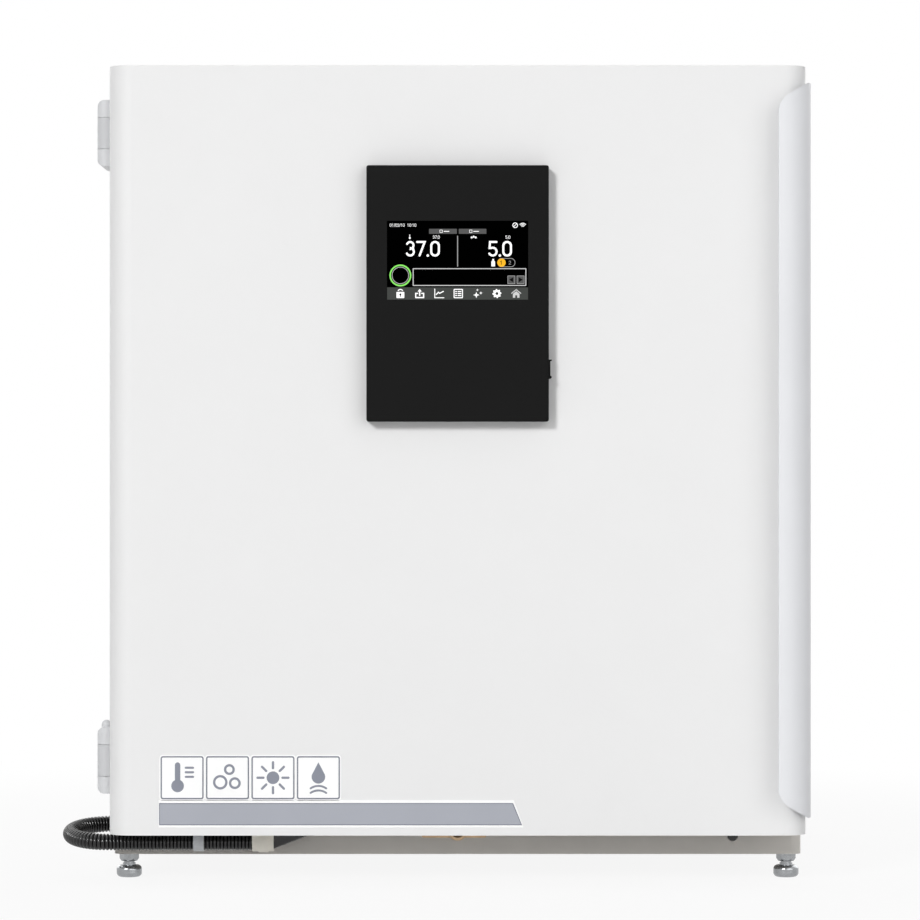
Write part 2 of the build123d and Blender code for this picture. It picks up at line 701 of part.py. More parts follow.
def hinge_cover(z, cap_hole):
    """The moulded cover over the bracket, cut away where the door's knuckle turns."""
    z0, z1 = z - HINGE_HEIGHT / 2, z + HINGE_HEIGHT / 2

    def body(shrink, low, high, corner):
        r = HINGE_COVER_RADIUS - shrink
        left = hinge_x - r
        plan = rod_z(hinge_x, 0, low, high, r)
        plan += span(left, -half, 0, HINGE_COVER_DEPTH - shrink, low, high)
        plan &= span(left - 1, -half, -2 * r, HINGE_COVER_DEPTH, low, high)
        deep = HINGE_COVER_DEPTH + 4 * r
        outline = span(left, -half + 2 * corner, -2 * r, deep, low, high)
        corners = outline.edges().filter_by(Axis.Y).group_by(Axis.X)[0]
        return plan & fillet(corners, corner)

    w = HINGE_COVER_WALL
    cover = body(0, z0, z1, 8.0) - body(w, z0 + w, z1 - w, 6.0)
    mouth = KNUCKLE_HEIGHT / 2 + SEAM
    cover -= span(hinge_x - 20, -half + 1, -20, HINGE_COVER_RADIUS + 0.7, z - mouth, z + mouth)
    if cap_hole:
        cover -= rod_z(hinge_x, 0, z1 - w - 1, z1 + 1, ADJUSTER_RADIUS + RUNNING)
    return cover


def hinge_adjuster(z):
    """The domed cap over the lower hinge's height screw."""
    top = z + HINGE_HEIGHT / 2
    post = rod_z(hinge_x, 0, top - HINGE_COVER_WALL, top + 3, ADJUSTER_RADIUS)
    dome = Pos(hinge_x, 0, top + 3) * Sphere(ADJUSTER_RADIUS)
    dome &= rod_z(hinge_x, 0, top + 3, top + 10, ADJUSTER_RADIUS)
    return post + dome


def hinge_leaf(z):
    """The leaf on the door's rear edge, with the knuckle that turns on the pin."""
    low, high = z - HINGE_HEIGHT / 2 + 5, z + HINGE_HEIGHT / 2 - 5
    y0, y1 = door_rear, door_rear + LEAF
    plate = span(-half + 0.5, -land_half, y0, y1, low, high)
    k0, k1 = z - KNUCKLE_HEIGHT / 2, z + KNUCKLE_HEIGHT / 2
    tongue = span(hinge_x, -half + 1, y0, y1, k0, k1)
    leaf = plate + tongue + rod_z(hinge_x, 0, k0, k1, HINGE_COVER_RADIUS)
    return leaf - rod_z(hinge_x, 0, k0 - 1, k1 + 1, PIN_RADIUS + RUNNING)


def bracket_screws(z):
    """Round-headed screws that hold the bracket to the cabinet's side."""
    return [
        rod_x(y, z, -half - 5, -half, 3.0) + rod_x(y, z, -half - 6.5, -half - 3, 5.0) for y in (40, 58)
    ]


def leaf_screws(z):
    """Flat-headed screws on the leaf behind the door."""
    y = door_rear + LEAF
    x = -(half + land_half) / 2
    return [rod_y(x, z + dz, y, y + 1.6, 3.6) for dz in (-24, 24)]


# Wiring conduit


def boot_x():
    return run_end + CONDUIT_RADIUS * 1.4


def conduit_loop():
    """The free loop: out of the gland, half a turn round the corner, and in under the door."""
    start = Vector(gland_face, gland_y, gland_z)
    turn_out = Vector(gland_face, conduit_y, conduit_z)
    middle = (start + turn_out) / 2
    radius = (start - turn_out).length / 2
    bend = ThreePointArc(start, middle + Vector(-radius, 0, 0), turn_out)
    lead = Line(turn_out, (loop_end, conduit_y, conduit_z))
    path = Wire([bend, lead])
    circle = Plane(origin=start, z_dir=(-1, 0, 0)) * Circle(CONDUIT_RADIUS)
    return sweep(circle, path=path)


def conduit_gland():
    """The gland in the base's side that the loop comes out of."""
    flange = rod_x(gland_y, gland_z, -half - 3, -half, GLAND_NECK + 4)
    neck = rod_x(gland_y, gland_z, -half, -half + 8, GLAND_NECK)
    collar = rod_x(gland_y, gland_z, gland_face, -half - 3, CONDUIT_RADIUS + 2)
    return flange + neck + collar


def conduit_run():
    """The stretch that is held along the door's underside."""
    return rod_x(conduit_y, conduit_z, loop_end, run_end, CONDUIT_RADIUS)


def conduit_clip():
    """A band clip round the conduit, hung from the door's underside."""
    x1 = run_end - CLIP_FROM_END
    x0 = x1 - CLIP_WIDTH
    r = CONDUIT_RADIUS
    ring = rod_x(conduit_y, conduit_z, x0, x1, r + 1.1)
    post = span(x0, x1, conduit_y - r * 0.6, conduit_y + r * 0.6, conduit_z + r * 0.7, door_low)
    return ring + post - rod_x(conduit_y, conduit_z, x0 - 1, x1 + 1, r + RUNNING)


def conduit_fitting():
    """The moulded saddle that ends the conduit, with a raised rim at each side."""
    x1, x0 = run_end, run_end - FITTING_WIDTH
    r = CONDUIT_RADIUS
    body = rod_x(conduit_y, conduit_z, x0, x1, r + 1.2)
    body += rod_x(conduit_y, conduit_z, x0 + 7, x1 - 6, r + 2.2)
    foot_pad = span(x0, x1, conduit_y - r, conduit_y + r, conduit_z + r * 0.5, door_low)
    return body + foot_pad - rod_x(conduit_y, conduit_z, x0 - 1, x1 + 1, r + RUNNING)


def conduit_boot():
    """The sleeve that carries the wires from the conduit's end up into the door."""
    low = conduit_z - CONDUIT_RADIUS * 0.8
    corners = [(run_end, low), (run_end + BOOT_LENGTH, door_low), (run_end, door_low)]
    side = make_face(Polyline(corners, close=True))
    upright = Pos(0, conduit_y, 0) * Rot(90, 0, 0) * side
    boot = extrude(upright, CONDUIT_RADIUS * 0.8, both=True)
    slope = boot.edges().filter_by(lambda e: e.length > BOOT_LENGTH)
    return fillet(slope, 4.0)


# Glass inner door


def glass_pane():
    reach = glass_half
    pane = face_block(-reach, reach, glass_front, glass_rear, glass_low, glass_high, 14.0)
    return chamfer(pane.faces().sort_by(Axis.Y)[0].outer_wire().edges(), 0.6)


def glass_seal():
    """The silicone frame on the chamber's flange that the glass closes on."""
    y0, y1 = glass_rear + FIT, MOUTH_SETBACK
    inner_half, r = chamber_half + 0.5, CHAMBER_CORNER
    inner_z = (floor_z - 0.5, ceiling_z + 0.5)
    band = 8.0
    outer_z = (inner_z[0] - band, inner_z[1] + band)
    return face_ring(inner_half + band, outer_z, inner_half, inner_z, y0, y1, r + band, r)


def glass_hinge_zs():
    return floor_z + GLASS_HINGE_FROM_END, ceiling_z - GLASS_HINGE_FROM_END


def glass_clamp(z):
    """The clamp on the glass, with the knuckle that turns on the pin."""
    z0, z1 = z - GLASS_CLAMP / 2, z + GLASS_CLAMP / 2
    plate = span(glass_pivot_x, -glass_half + 30, glass_front - 2.5, glass_front, z0, z1)
    knuckle = rod_z(glass_pivot_x, glass_pivot_y, z0, z1, GLASS_PIVOT_OUT)
    web = span(glass_pivot_x, glass_pivot_x + 3, glass_pivot_y, glass_front, z0, z1)
    return plate + web + knuckle - rod_z(glass_pivot_x, glass_pivot_y, z0 - 1, z1 + 1, 1.5 + RUNNING)


def glass_hinge_bracket(z):
    """Two lugs on the front frame's collar, above and below the clamp, and their pin."""
    wall = -collar_half
    r = GLASS_PIVOT_OUT
    pin_low, pin_high = z - GLASS_CLAMP / 2 - 9, z + GLASS_CLAMP / 2 + 9
    pin = rod_z(glass_pivot_x, glass_pivot_y, pin_low, pin_high, 1.5)
    parts = pin
    for z0, z1 in ((pin_low, pin_low + 8.5), (pin_high - 8.5, pin_high)):
        lug = rod_z(glass_pivot_x, glass_pivot_y, z0, z1, r)
        parts += lug + span(wall, glass_pivot_x, glass_pivot_y - r, glass_pivot_y + r, z0, z1)
    return parts


def latch_place():
    return glass_half - LATCH_INSET, (glass_low + glass_high) / 2


def latch_base():
    """The boss clamped on the glass, with the spindle that the lever turns on."""
    x, z = latch_place()
    boss = rod_y(x, z, glass_front - 3, glass_front, 11)
    boss = fillet(boss.edges().filter_by(GeomType.CIRCLE).sort_by(Axis.Y)[0], 1.0)
    return boss + rod_y(x, z, glass_front - 3 - FIT - LATCH_THICKNESS - 2, glass_front - 2, 3)


def latch_lever():
    """The quarter-turn lever, drawn released: it hangs down clear of the keeper."""
    x, z = latch_place()
    y1 = glass_front - 3 - FIT
    y0 = y1 - LATCH_THICKNESS
    lever = rod_y(x, z, y0, y1, 9) + span(x - 4.5, x + 4.5, y0, y1, z - LATCH_REACH + 4.5, z)
    lever += rod_y(x, z - LATCH_REACH + 4.5, y0, y1, 4.5)
    lever += rod_y(x, z + 16, y0, y1, 6) + span(x - 4, x + 4, y0, y1, z, z + 16)
    return lever - rod_y(x, z, y0 - 1, y1 + 1, 3 + RUNNING)


def latch_keeper():
    """The keeper on the collar, whose lip holds the lever's tip when it is turned across."""
    x, z = latch_place()
    lever_y1 = glass_front - 3 - FIT
    lip_y1 = lever_y1 - LATCH_THICKNESS - FIT
    foot_plate = span(collar_half - 1.5, collar_half, lip_y1 - 1.5, glass_rear, z - 14, z + 14)
    return foot_plate + span(glass_half + 2, collar_half, lip_y1 - 1.5, lip_y1, z - 9, z + 9)


# Inside the chamber


def rack(side):
    """One side rack: two posts with a channel at each shelf."""
    wall = chamber_half
    z0, z1 = floor_z + 40, ceiling_z - 40
    y0, y1 = shelf_front + 5, shelf_rear - 20
    solid = None

    def put(x0, x1, *rest):
        low, high = sorted((side * x0, side * x1))
        return span(low, high, *rest)

    for y in (y0 + 60, y1 - 60):
        post = put(wall - 5, wall - 2, y - 11, y + 11, z0, z1)
        for z in (z0 + 25, z1 - 25):
            post += put(wall - 2, wall, y - 6, y + 6, z - 6, z + 6)
        solid = post if solid is None else solid + post
    for level in shelf_levels:
        top = level + SHELF_HEIGHT + 1.5
        solid += put(wall - 6.5, wall - 5, y0, y1, level - 2, top + 1.5)
        solid += put(wall - RAIL_REACH, wall - 5, y0, y1, level - 2, level - FIT)
        solid += put(wall - RAIL_REACH + 4, wall - 5, y0, y1, top, top + 1.5)
    return solid


def shelf(level):
    """A pressed shelf: a slotted plate with a rim turned down all round."""
    t = CHAMBER_SHEET
    top = level + SHELF_HEIGHT
    outer = plan_block(-shelf_half, shelf_half, shelf_front, shelf_rear, level, top, 8.0, 8.0)
    inner = plan_block(
        -shelf_half + t, shelf_half - t, shelf_front + t, shelf_rear - t, level - 1, top - t, 8.0 - t, 8.0 - t
    )
    tray = outer - inner
    pitch_x = 2 * shelf_half / (SLOT_COLUMNS + 0.5)
    pitch_y = shelf_depth / (SLOT_ROWS + 0.6)
    for row in range(SLOT_ROWS):
        for column in range(SLOT_COLUMNS):
            x = (column - (SLOT_COLUMNS - 1) / 2) * pitch_x
            y = shelf_front + shelf_depth / 2 + (row - (SLOT_ROWS - 1) / 2) * pitch_y
            reach_x, reach_y = pitch_x * 0.36, pitch_y * 0.13
            tray -= span(x - reach_x, x + reach_x, y - reach_y, y + reach_y, top - 2 * t, top + 1)
    return tray


def water_pan():
    """The open pan on the chamber's floor, with a rolled lip."""
    x, t = PAN_WIDTH / 2, PAN_WALL
    y0 = shelf_front + 6
    y1 = y0 + PAN_DEPTH
    z0 = floor_z + FIT
    z1 = z0 + PAN_HEIGHT
    outer = plan_block(-x, x, y0, y1, z0, z1, 20.0, 20.0)
    inner = plan_block(-x + t, x - t, y0 + t, y1 - t, z0 + t, z1 + 1, 20.0 - t, 20.0 - t)
    lip = plan_block(-x - 5, x + 5, y0 - 5, y1 + 5, z1 - 2, z1, 25.0, 25.0)
    return outer + lip - inner


def duct_cover():
    """The cover on the chamber's rear wall: the fan's intake above, outlets below."""
    x, t = DUCT_WIDTH / 2, CHAMBER_SHEET
    y0 = duct_front
    z0, z1 = floor_z + DUCT_END_GAP, ceiling_z - DUCT_END_GAP
    cover = span(-x, x, y0, chamber_rear, z0, z1)
    cover = fillet(cover.edges().filter_by(Axis.Z).group_by(Axis.Y)[0], 6.0)
    cover -= span(-x + t, x - t, y0 + t, chamber_rear + 1, z0 + t, z1 - t)
    for i in range(INTAKE_SLOTS):
        turn = Rot(0, 360 / INTAKE_SLOTS * i, 0)
        cover -= Pos(0, 0, fan_z) * turn * span(20, 44, y0 - 1, y0 + t + 1, -3.5, 3.5)
    for i in range(7):
        cover -= span(-108 + 32 * i, -84 + 32 * i, y0 - 1, y0 + t + 1, z0 + 8, z0 + 18)
    return cover


def fan_wheel():
    """A centrifugal wheel: hub, back plate, curved blades, shroud ring and shaft."""
    front = duct_front + CHAMBER_SHEET + 3
    back = front + FAN_WIDTH
    hub = rod_y(0, fan_z, front, back, 12)
    plate = rod_y(0, fan_z, back - 1.5, back, FAN_RADIUS)
    shroud = rod_y(0, fan_z, front, front + 1.2, FAN_RADIUS) - rod_y(
        0, fan_z, front - 1, front + 2, FAN_RADIUS * 0.68
    )
    wheel = hub + plate + shroud
    blade_r = FAN_RADIUS * 0.62
    for i in range(FAN_BLADES):
        curve = Circle(blade_r) - Circle(blade_r - 1.4)
        window = Pos(0, blade_r) * Rectangle(blade_r * 1.2, blade_r)
        strip = extrude(curve & window, back - front - 1)
        placed = Pos(0, back - 0.5, fan_z) * Rot(90, 0, 0) * Rot(0, 0, 360 / FAN_BLADES * i)
        wheel += placed * Pos(FAN_RADIUS * 0.68, -blade_r * 0.95) * strip
    keep = rod_y(0, fan_z, front, back, FAN_RADIUS)
    core = rod_y(0, fan_z, front - 1, back - 1.5, 20) - hub
    wheel = (wheel & keep) - core
    return wheel + rod_y(0, fan_z, back - 1, wall_rear + 16, SHAFT_RADIUS)


def fan_motor():
    """The motor behind the insulation, on its square mounting plate."""
    y0 = wall_rear + FIT
    plate = face_block(-46, 46, y0, y0 + 3, fan_z - 46, fan_z + 46, 6.0)
    can = rod_y(0, fan_z, y0 + 3, y0 + SERVICE_DEPTH - 12, MOTOR_RADIUS)
    can = fillet(can.edges().filter_by(GeomType.CIRCLE).sort_by(Axis.Y)[-1], 4.0)
    return plate + can - rod_y(0, fan_z, y0 - 1, y0 + 20, SHAFT_RADIUS + RUNNING)


def uv_lamp():
    """The lamp in the duct, with its metal end caps."""
    z = floor_z + LAMP_RISE
    y = chamber_rear - DUCT_DEPTH / 2
    reach = LAMP_LENGTH / 2
    return rod_x(y, z, -reach, reach, LAMP_RADIUS)


def lamp_holders():
    z = floor_z + LAMP_RISE
    y = chamber_rear - DUCT_DEPTH / 2
    holders = []
    for side in (-1, 1):
        x = side * LAMP_LENGTH / 2
        low, high = sorted((x - side * 12, x + side * 10))
        block = span(low, high, y - LAMP_RADIUS - 2, chamber_rear, z - 12, z + 12)
        holders.append(block - rod_x(y, z, *sorted((x - side * 13, x)), LAMP_RADIUS + RUNNING))
    return holders


def co2_sensor():
    """The gas sensor head on the rear wall, with its filter cap."""
    x, z = DUCT_WIDTH / 2 + 60, port_z
    head = rod_y(x, z, chamber_rear - 46, chamber_rear - 4, 15)
    head = fillet(head.edges().filter_by(GeomType.CIRCLE).sort_by(Axis.Y)[0], 4.0)
    return head + rod_y(x, z, chamber_rear - 4, chamber_rear, 20)


def temperature_probe():
    x, z = DUCT_WIDTH / 2 + 110, port_z
    tip = rod_y(x, z, chamber_rear - 80, chamber_rear - 5, 2.5)
    tip = fillet(tip.edges().filter_by(GeomType.CIRCLE).sort_by(Axis.Y)[0], 2.0)
    return tip + rod_y(x, z, chamber_rear - 5, chamber_rear, 9)


# Rear of the cabinet


def gas_inlet_xs():
    return 230.0, 270.0


def gas_inlet_z():
    return base_top + 90.0


def socket_box():
    x0, z0 = -300.0, base_top + 70.0
    return x0, x0 + 28, z0, z0 + 20


def gas_inlet(x):
    """A gas inlet: a flanged body through the rear panel and a plain hose spigot."""
    z, y = gas_inlet_z(), cabinet_rear
    body = rod_y(x, z, y - 22, y + 5, INLET_BODY)
    flange = rod_y(x, z, y, y + 2.5, INLET_BODY + 3)
    spigot = rod_y(x, z, y + 5, y + 5 + SPIGOT_LENGTH, SPIGOT_RADIUS)
    return body + flange + chamfer(spigot.edges().filter_by(GeomType.CIRCLE).sort_by(Axis.Y)[-1], 0.6)


def power_inlet():
    """The mains inlet: a recessed socket with three blades."""
    x0, x1, z0, z1 = socket_box()
    y = cabinet_rear
    body = span(x0, x1, y - 26, y, z0, z1) + span(x0 - 4, x1 + 4, y, y + 2.5, z0 - 4, z1 + 4)
    cavity = span(x0 + 2, x1 - 2, y - 18, y + 3, z0 + 2, z1 - 2)
    socket = body - cavity
    mid_x, mid_z = (x0 + x1) / 2, (z0 + z1) / 2
    for dx, dz in ((-7, -2), (0, 2), (7, -2)):
        socket += span(mid_x + dx - 1, mid_x + dx + 1, y - 19, y - 4, mid_z + dz - 2, mid_z + dz + 2)
    return socket


def port_tube():
    """The sleeve of the access port, from the chamber out to the rear panel."""
    y0, y1 = chamber_rear - 4, cabinet_rear + PORT_LIP
    r = PORT_BORE + PORT_WALL
    tube = rod_y(PORT_X, port_z, y0, y1, r) + rod_y(PORT_X, port_z, cabinet_rear, y1, r + 6)
    return tube - rod_y(PORT_X, port_z, y0 - 1, y1 + 1, PORT_BORE)


def stopper():
    """A silicone stopper: a shank in the port's bore and a wider head to pull it by."""
    face = cabinet_rear + PORT_LIP
    shank = rod_y(PORT_X, port_z, face - STOPPER_LENGTH, face + 1, PORT_BORE - FIT)
    head = rod_y(PORT_X, port_z, face + FIT, face + 12, PORT_BORE + 5)
    return shank + fillet(head.edges().filter_by(GeomType.CIRCLE), 2.0)


def anchor_bracket(x):
    """A tab on the rear panel for a strap or chain to the wall."""
    y, z = cabinet_rear, height - 55
    foot_plate = face_block(x - 18, x + 18, y, y + ANCHOR_PLATE, z - 20, z + 20, 4.0)
    tab = span(x - ANCHOR_PLATE / 2, x + ANCHOR_PLATE / 2, y, y + 24, z - 12, z + 12)
    tab = fillet(tab.edges().filter_by(Axis.X).group_by(Axis.Y)[-1], 8.0)
    return foot_plate + tab - rod_x(y + 13, z, x - 5, x + 5, ANCHOR_HOLE)


def control_box():
    """The electrics tray in the service space behind the insulation."""
    y0 = wall_rear + FIT
    tray = span(-130, 130, y0, y0 + 36, base_top + 90, base_top + 390)
    hollow = span(-128, 128, y0 + 2, y0 + 37, base_top + 92, base_top + 388)
    board = span(-115, 115, y0 + 8, y0 + 9.6, base_top + 105, base_top + 375)
    posts = [rod_y(x, z, y0 + 1, y0 + 8.5, 3) for x in (-108, 108) for z in (base_top + 112, base_top + 368)]
    return tray - hollow + board + posts[0] + posts[1] + posts[2] + posts[3]


def gas_valves():
    """One solenoid valve behind each gas inlet."""
    z, y = gas_inlet_z(), cabinet_rear
    return [
        span(x - 12, x + 12, wall_rear + FIT, y - 22, z - 16, z + 16) + rod_z(x, y - 37, z + 16, z + 42, 11)
        for x in gas_inlet_xs()
    ]


def collect():
    """Every node's solids by name."""
    hinge_zs = (upper_hinge_z, lower_hinge_z)
    nodes = {
        "base_pan": base_pan(),
        "side_panels": [side_panel(-1), side_panel(1)],
        "top_panel": top_panel(),
        "rear_panel": rear_panel(),
        "front_frame": front_frame(),
        "inner_chamber": chamber(),
        "insulation_jacket": insulation_jacket(),
        "service_cover": [service_plate(), service_cap()],
        "base_plug": base_plug(),
        "door_switch": door_switch(),
        "door_switch_plunger": switch_plunger(),
        "door_skin": door_skin(),
        "door_caps": [door_cap(True), door_cap(False)],
        "door_insulation": door_insulation(),
        "door_liner": door_liner(),
        "door_gasket": door_gasket(),
        "door_grip": door_grip(),
        "panel_housing": panel_housing(),
        "panel_fascia": panel_fascia(),
        "screen_module": screen_module(),
        "panel_board": panel_board(),
        "socket_cover": port_cover(),
        "hinge_brackets": [hinge_bracket(z) for z in hinge_zs],
        "hinge_pins": [hinge_pin(z) for z in hinge_zs],
        "hinge_leaves": [hinge_leaf(z) for z in hinge_zs] + [s for z in hinge_zs for s in leaf_screws(z)],
        "hinge_covers": [
            hinge_cover(upper_hinge_z, False), hinge_cover(lower_hinge_z, True), hinge_adjuster(lower_hinge_z)
        ],
        "bracket_screws": [s for z in hinge_zs for s in bracket_screws(z)],
        "lock_nuts": [solid for x, y in foot_places() for solid in lock_nut(x, y)],
        "conduit_loop": conduit_loop(),
        "conduit_gland": conduit_gland(),
        "conduit_run": conduit_run(),
        "conduit_clip": conduit_clip(),
        "conduit_end_fitting": conduit_fitting(),
        "conduit_boot": conduit_boot(),
        "glass_pane": glass_pane(),
        "glass_seal": glass_seal(),
        "glass_clamps": [glass_clamp(z) for z in glass_hinge_zs()],
        "glass_door_fittings": [glass_hinge_bracket(z) for z in glass_hinge_zs()] + [latch_keeper()],
        "glass_latch_base": latch_base(),
        "glass_latch_lever": latch_lever(),
        "shelf_racks": [rack(-1), rack(1)],
        "water_pan": water_pan(),
        "duct_cover": duct_cover(),
        "fan_wheel": fan_wheel(),
        "fan_motor": fan_motor(),
        "uv_lamp": [uv_lamp()] + lamp_holders(),
        "chamber_sensors": [co2_sensor(), temperature_probe()],
        "port_tube": port_tube(),
        "port_stopper": stopper(),
        "gas_inlets": [gas_inlet(x) for x in gas_inlet_xs()],
        "rear_anchors": [anchor_bracket(x) for x in (-ANCHOR_X, ANCHOR_X)],
        "power_inlet": power_inlet(),
        "rear_electrics": [control_box()] + gas_valves(),
    }
    for i, level in enumerate(shelf_levels):
        nodes[f"shelf_{i + 1}"] = shelf(level)
    corners = ("front_left", "front_right", "rear_left", "rear_right")
    for corner, (x, y) in zip(corners, foot_places()):
        nodes[f"foot_{corner}"] = foot(x, y)
    return {name: shape if isinstance(shape, list) else [shape] for name, shape in nodes.items()}


def footprint_shift(nodes):
    """The move that puts the middle of the whole footprint at X = 0 and Y = 0."""
    box = Compound([solid for shapes in nodes.values() for shape in shapes for solid in shape.solids()])
    box = box.bounding_box()
    return Pos(-(box.min.X + box.max.X) / 2, -(box.min.Y + box.max.Y) / 2, -box.min.Z)


def main():
    os.makedirs("parts", exist_ok=True)
    nodes = collect()
    shift = footprint_shift(nodes)
    for name, shapes in nodes.items():
        solids = [solid for shape in shapes for solid in shape.solids()]
        body = solids[0] if len(solids) == 1 else Compound(solids)
        export_step(body.moved(shift), f"parts/{name}.step")


main()
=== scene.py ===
import json
import math

import bmesh
import bpy
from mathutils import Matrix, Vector


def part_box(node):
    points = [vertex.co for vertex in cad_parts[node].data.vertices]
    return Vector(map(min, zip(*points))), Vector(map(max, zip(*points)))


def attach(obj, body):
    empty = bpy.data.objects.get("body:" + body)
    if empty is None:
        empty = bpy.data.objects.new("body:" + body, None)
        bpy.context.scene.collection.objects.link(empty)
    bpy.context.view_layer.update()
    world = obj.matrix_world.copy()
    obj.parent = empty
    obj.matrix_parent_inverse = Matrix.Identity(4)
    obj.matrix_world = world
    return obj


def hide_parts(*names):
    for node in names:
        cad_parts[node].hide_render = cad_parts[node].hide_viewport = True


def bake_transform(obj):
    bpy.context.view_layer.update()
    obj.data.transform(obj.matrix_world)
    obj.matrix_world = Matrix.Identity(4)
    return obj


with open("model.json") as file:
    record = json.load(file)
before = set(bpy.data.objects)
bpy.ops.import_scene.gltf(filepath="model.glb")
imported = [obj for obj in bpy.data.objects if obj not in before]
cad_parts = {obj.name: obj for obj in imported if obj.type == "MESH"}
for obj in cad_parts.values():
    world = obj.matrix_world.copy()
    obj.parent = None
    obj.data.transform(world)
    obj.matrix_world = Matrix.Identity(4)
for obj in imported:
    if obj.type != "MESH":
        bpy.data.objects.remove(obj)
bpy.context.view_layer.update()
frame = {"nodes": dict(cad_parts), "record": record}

# Places are written in millimetres from the middle of the cabinet's front plane, on the floor:
# x to the right, y to the rear, z up. The frame itself is in metres.
MM = 0.001
panel_low, panel_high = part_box("side_panels")
MIDDLE_X = (panel_low.x + panel_high.x) / 2
FRONT_Y = panel_low.y


def at(x, y, z):
    """A place in the frame, from millimetres."""
    return Vector((MIDDLE_X + x * MM, FRONT_Y + y * MM, z * MM))


def sizes(node):
    """A CAD node's lowest and highest corners, in millimetres."""
    low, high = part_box(node)
    return [((p.x - MIDDLE_X) / MM, (p.y - FRONT_Y) / MM, p.z / MM) for p in (low, high)]


# Camera


PICTURE = 920
SENSOR = 36.0
CAMERA_DISTANCE = 4500.0
CAMERA_HEIGHT = 469.4
FAR_CLIP = 60

# The door's width and the column of the cabinet's middle line in the photograph, in pixels
DOOR_PIXELS = 699.6
AXIS_PIXEL = 457.6


def make_camera():
    """A level view from far in front, as in the photograph."""
    (left, face, _), (right, _, _) = sizes("door_skin")
    pixels_per_mm = DOOR_PIXELS / (right - left)
    camera = bpy.data.objects.new("camera", bpy.data.cameras.new("camera"))
    bpy.context.scene.collection.objects.link(camera)
    camera.data.sensor_width = SENSOR
    camera.data.lens = pixels_per_mm * CAMERA_DISTANCE / PICTURE * SENSOR
    camera.data.shift_x = (PICTURE / 2 - AXIS_PIXEL) / PICTURE
    camera.data.clip_end = FAR_CLIP
    camera.location = at(0, face - CAMERA_DISTANCE, CAMERA_HEIGHT)
    camera.rotation_euler = (math.radians(90), 0, 0)
    bpy.context.scene.camera = camera


# Light and floor


# Lamps stand in degrees: a turn to the left of straight in front, and a rise above level.
WHITE = 1.0
AMBIENT = 0.075
KEY_STRENGTH = 1.78
KEY_TURN = 25.0
KEY_RISE = 21.0
KEY_SPREAD = 12.0
FILL_STRENGTH = 0.93
FILL_TURN = -34.0
FILL_RISE = 12.0
FILL_SPREAD = 50.0
TOP_STRENGTH = 0.35
TOP_TURN = -20.0
TOP_RISE = 70.0
REAR_STRENGTH = 1.1
REAR_LEFT_TURN = 150.0
REAR_RIGHT_TURN = -145.0
REAR_RISE = 35.0
SOFT_SPREAD = 60.0


def link(tree, source, target):
    tree.links.new(source, target)


def seen_ray(tree):
    """One where a ray comes from the camera, a mirror or a glass, and nought elsewhere."""
    path = tree.nodes.new("ShaderNodeLightPath")
    either = tree.nodes.new("ShaderNodeMath")
    either.operation = "MAXIMUM"
    link(tree, path.outputs["Is Camera Ray"], either.inputs[0])
    link(tree, path.outputs["Is Glossy Ray"], either.inputs[1])
    any_of = tree.nodes.new("ShaderNodeMath")
    any_of.operation = "MAXIMUM"
    link(tree, either.outputs[0], any_of.inputs[0])
    link(tree, path.outputs["Is Transmission Ray"], any_of.inputs[1])
    return any_of.outputs[0]


def make_world():
    """A plain grey studio that shows as white."""
    world = bpy.data.worlds.new("studio")
    bpy.context.scene.world = world
    world.use_nodes = True
    tree = world.node_tree
    tree.nodes.clear()
    dim = tree.nodes.new("ShaderNodeBackground")
    dim.inputs["Color"].default_value = (1, 1, 1, 1)
    dim.inputs["Strength"].default_value = AMBIENT
    bright = tree.nodes.new("ShaderNodeBackground")
    bright.inputs["Color"].default_value = (1, 1, 1, 1)
    bright.inputs["Strength"].default_value = WHITE
    mix = tree.nodes.new("ShaderNodeMixShader")
    link(tree, seen_ray(tree), mix.inputs[0])
    link(tree, dim.outputs[0], mix.inputs[1])
    link(tree, bright.outputs[0], mix.inputs[2])
    link(tree, mix.outputs[0], tree.nodes.new("ShaderNodeOutputWorld").inputs["Surface"])


def make_sun(name, turn, rise, strength, spread):
    """A far lamp, in degrees: turn is to the left of straight in front, and rise is above level."""
    sun = bpy.data.objects.new(name, bpy.data.lights.new(name, "SUN"))
    bpy.context.scene.collection.objects.link(sun)
    sun.data.energy = strength
    sun.data.angle = math.radians(spread)
    a, e = math.radians(turn), math.radians(rise)
    toward = Vector((-math.sin(a) * math.cos(e), -math.cos(a) * math.cos(e), math.sin(e)))
    sun.rotation_euler = toward.to_track_quat("Z", "Y").to_euler()


# In metres, as the frame is: the floor starts to fade at the near distance and is white at the far one.
FLOOR_HALF = 14.0
FLOOR_NEAR = 0.6
FLOOR_FAR = 1.6
FLOOR_GLOW = 0.9
FLOOR_GREY = 0.75
FLOOR_DROP = 0.0003


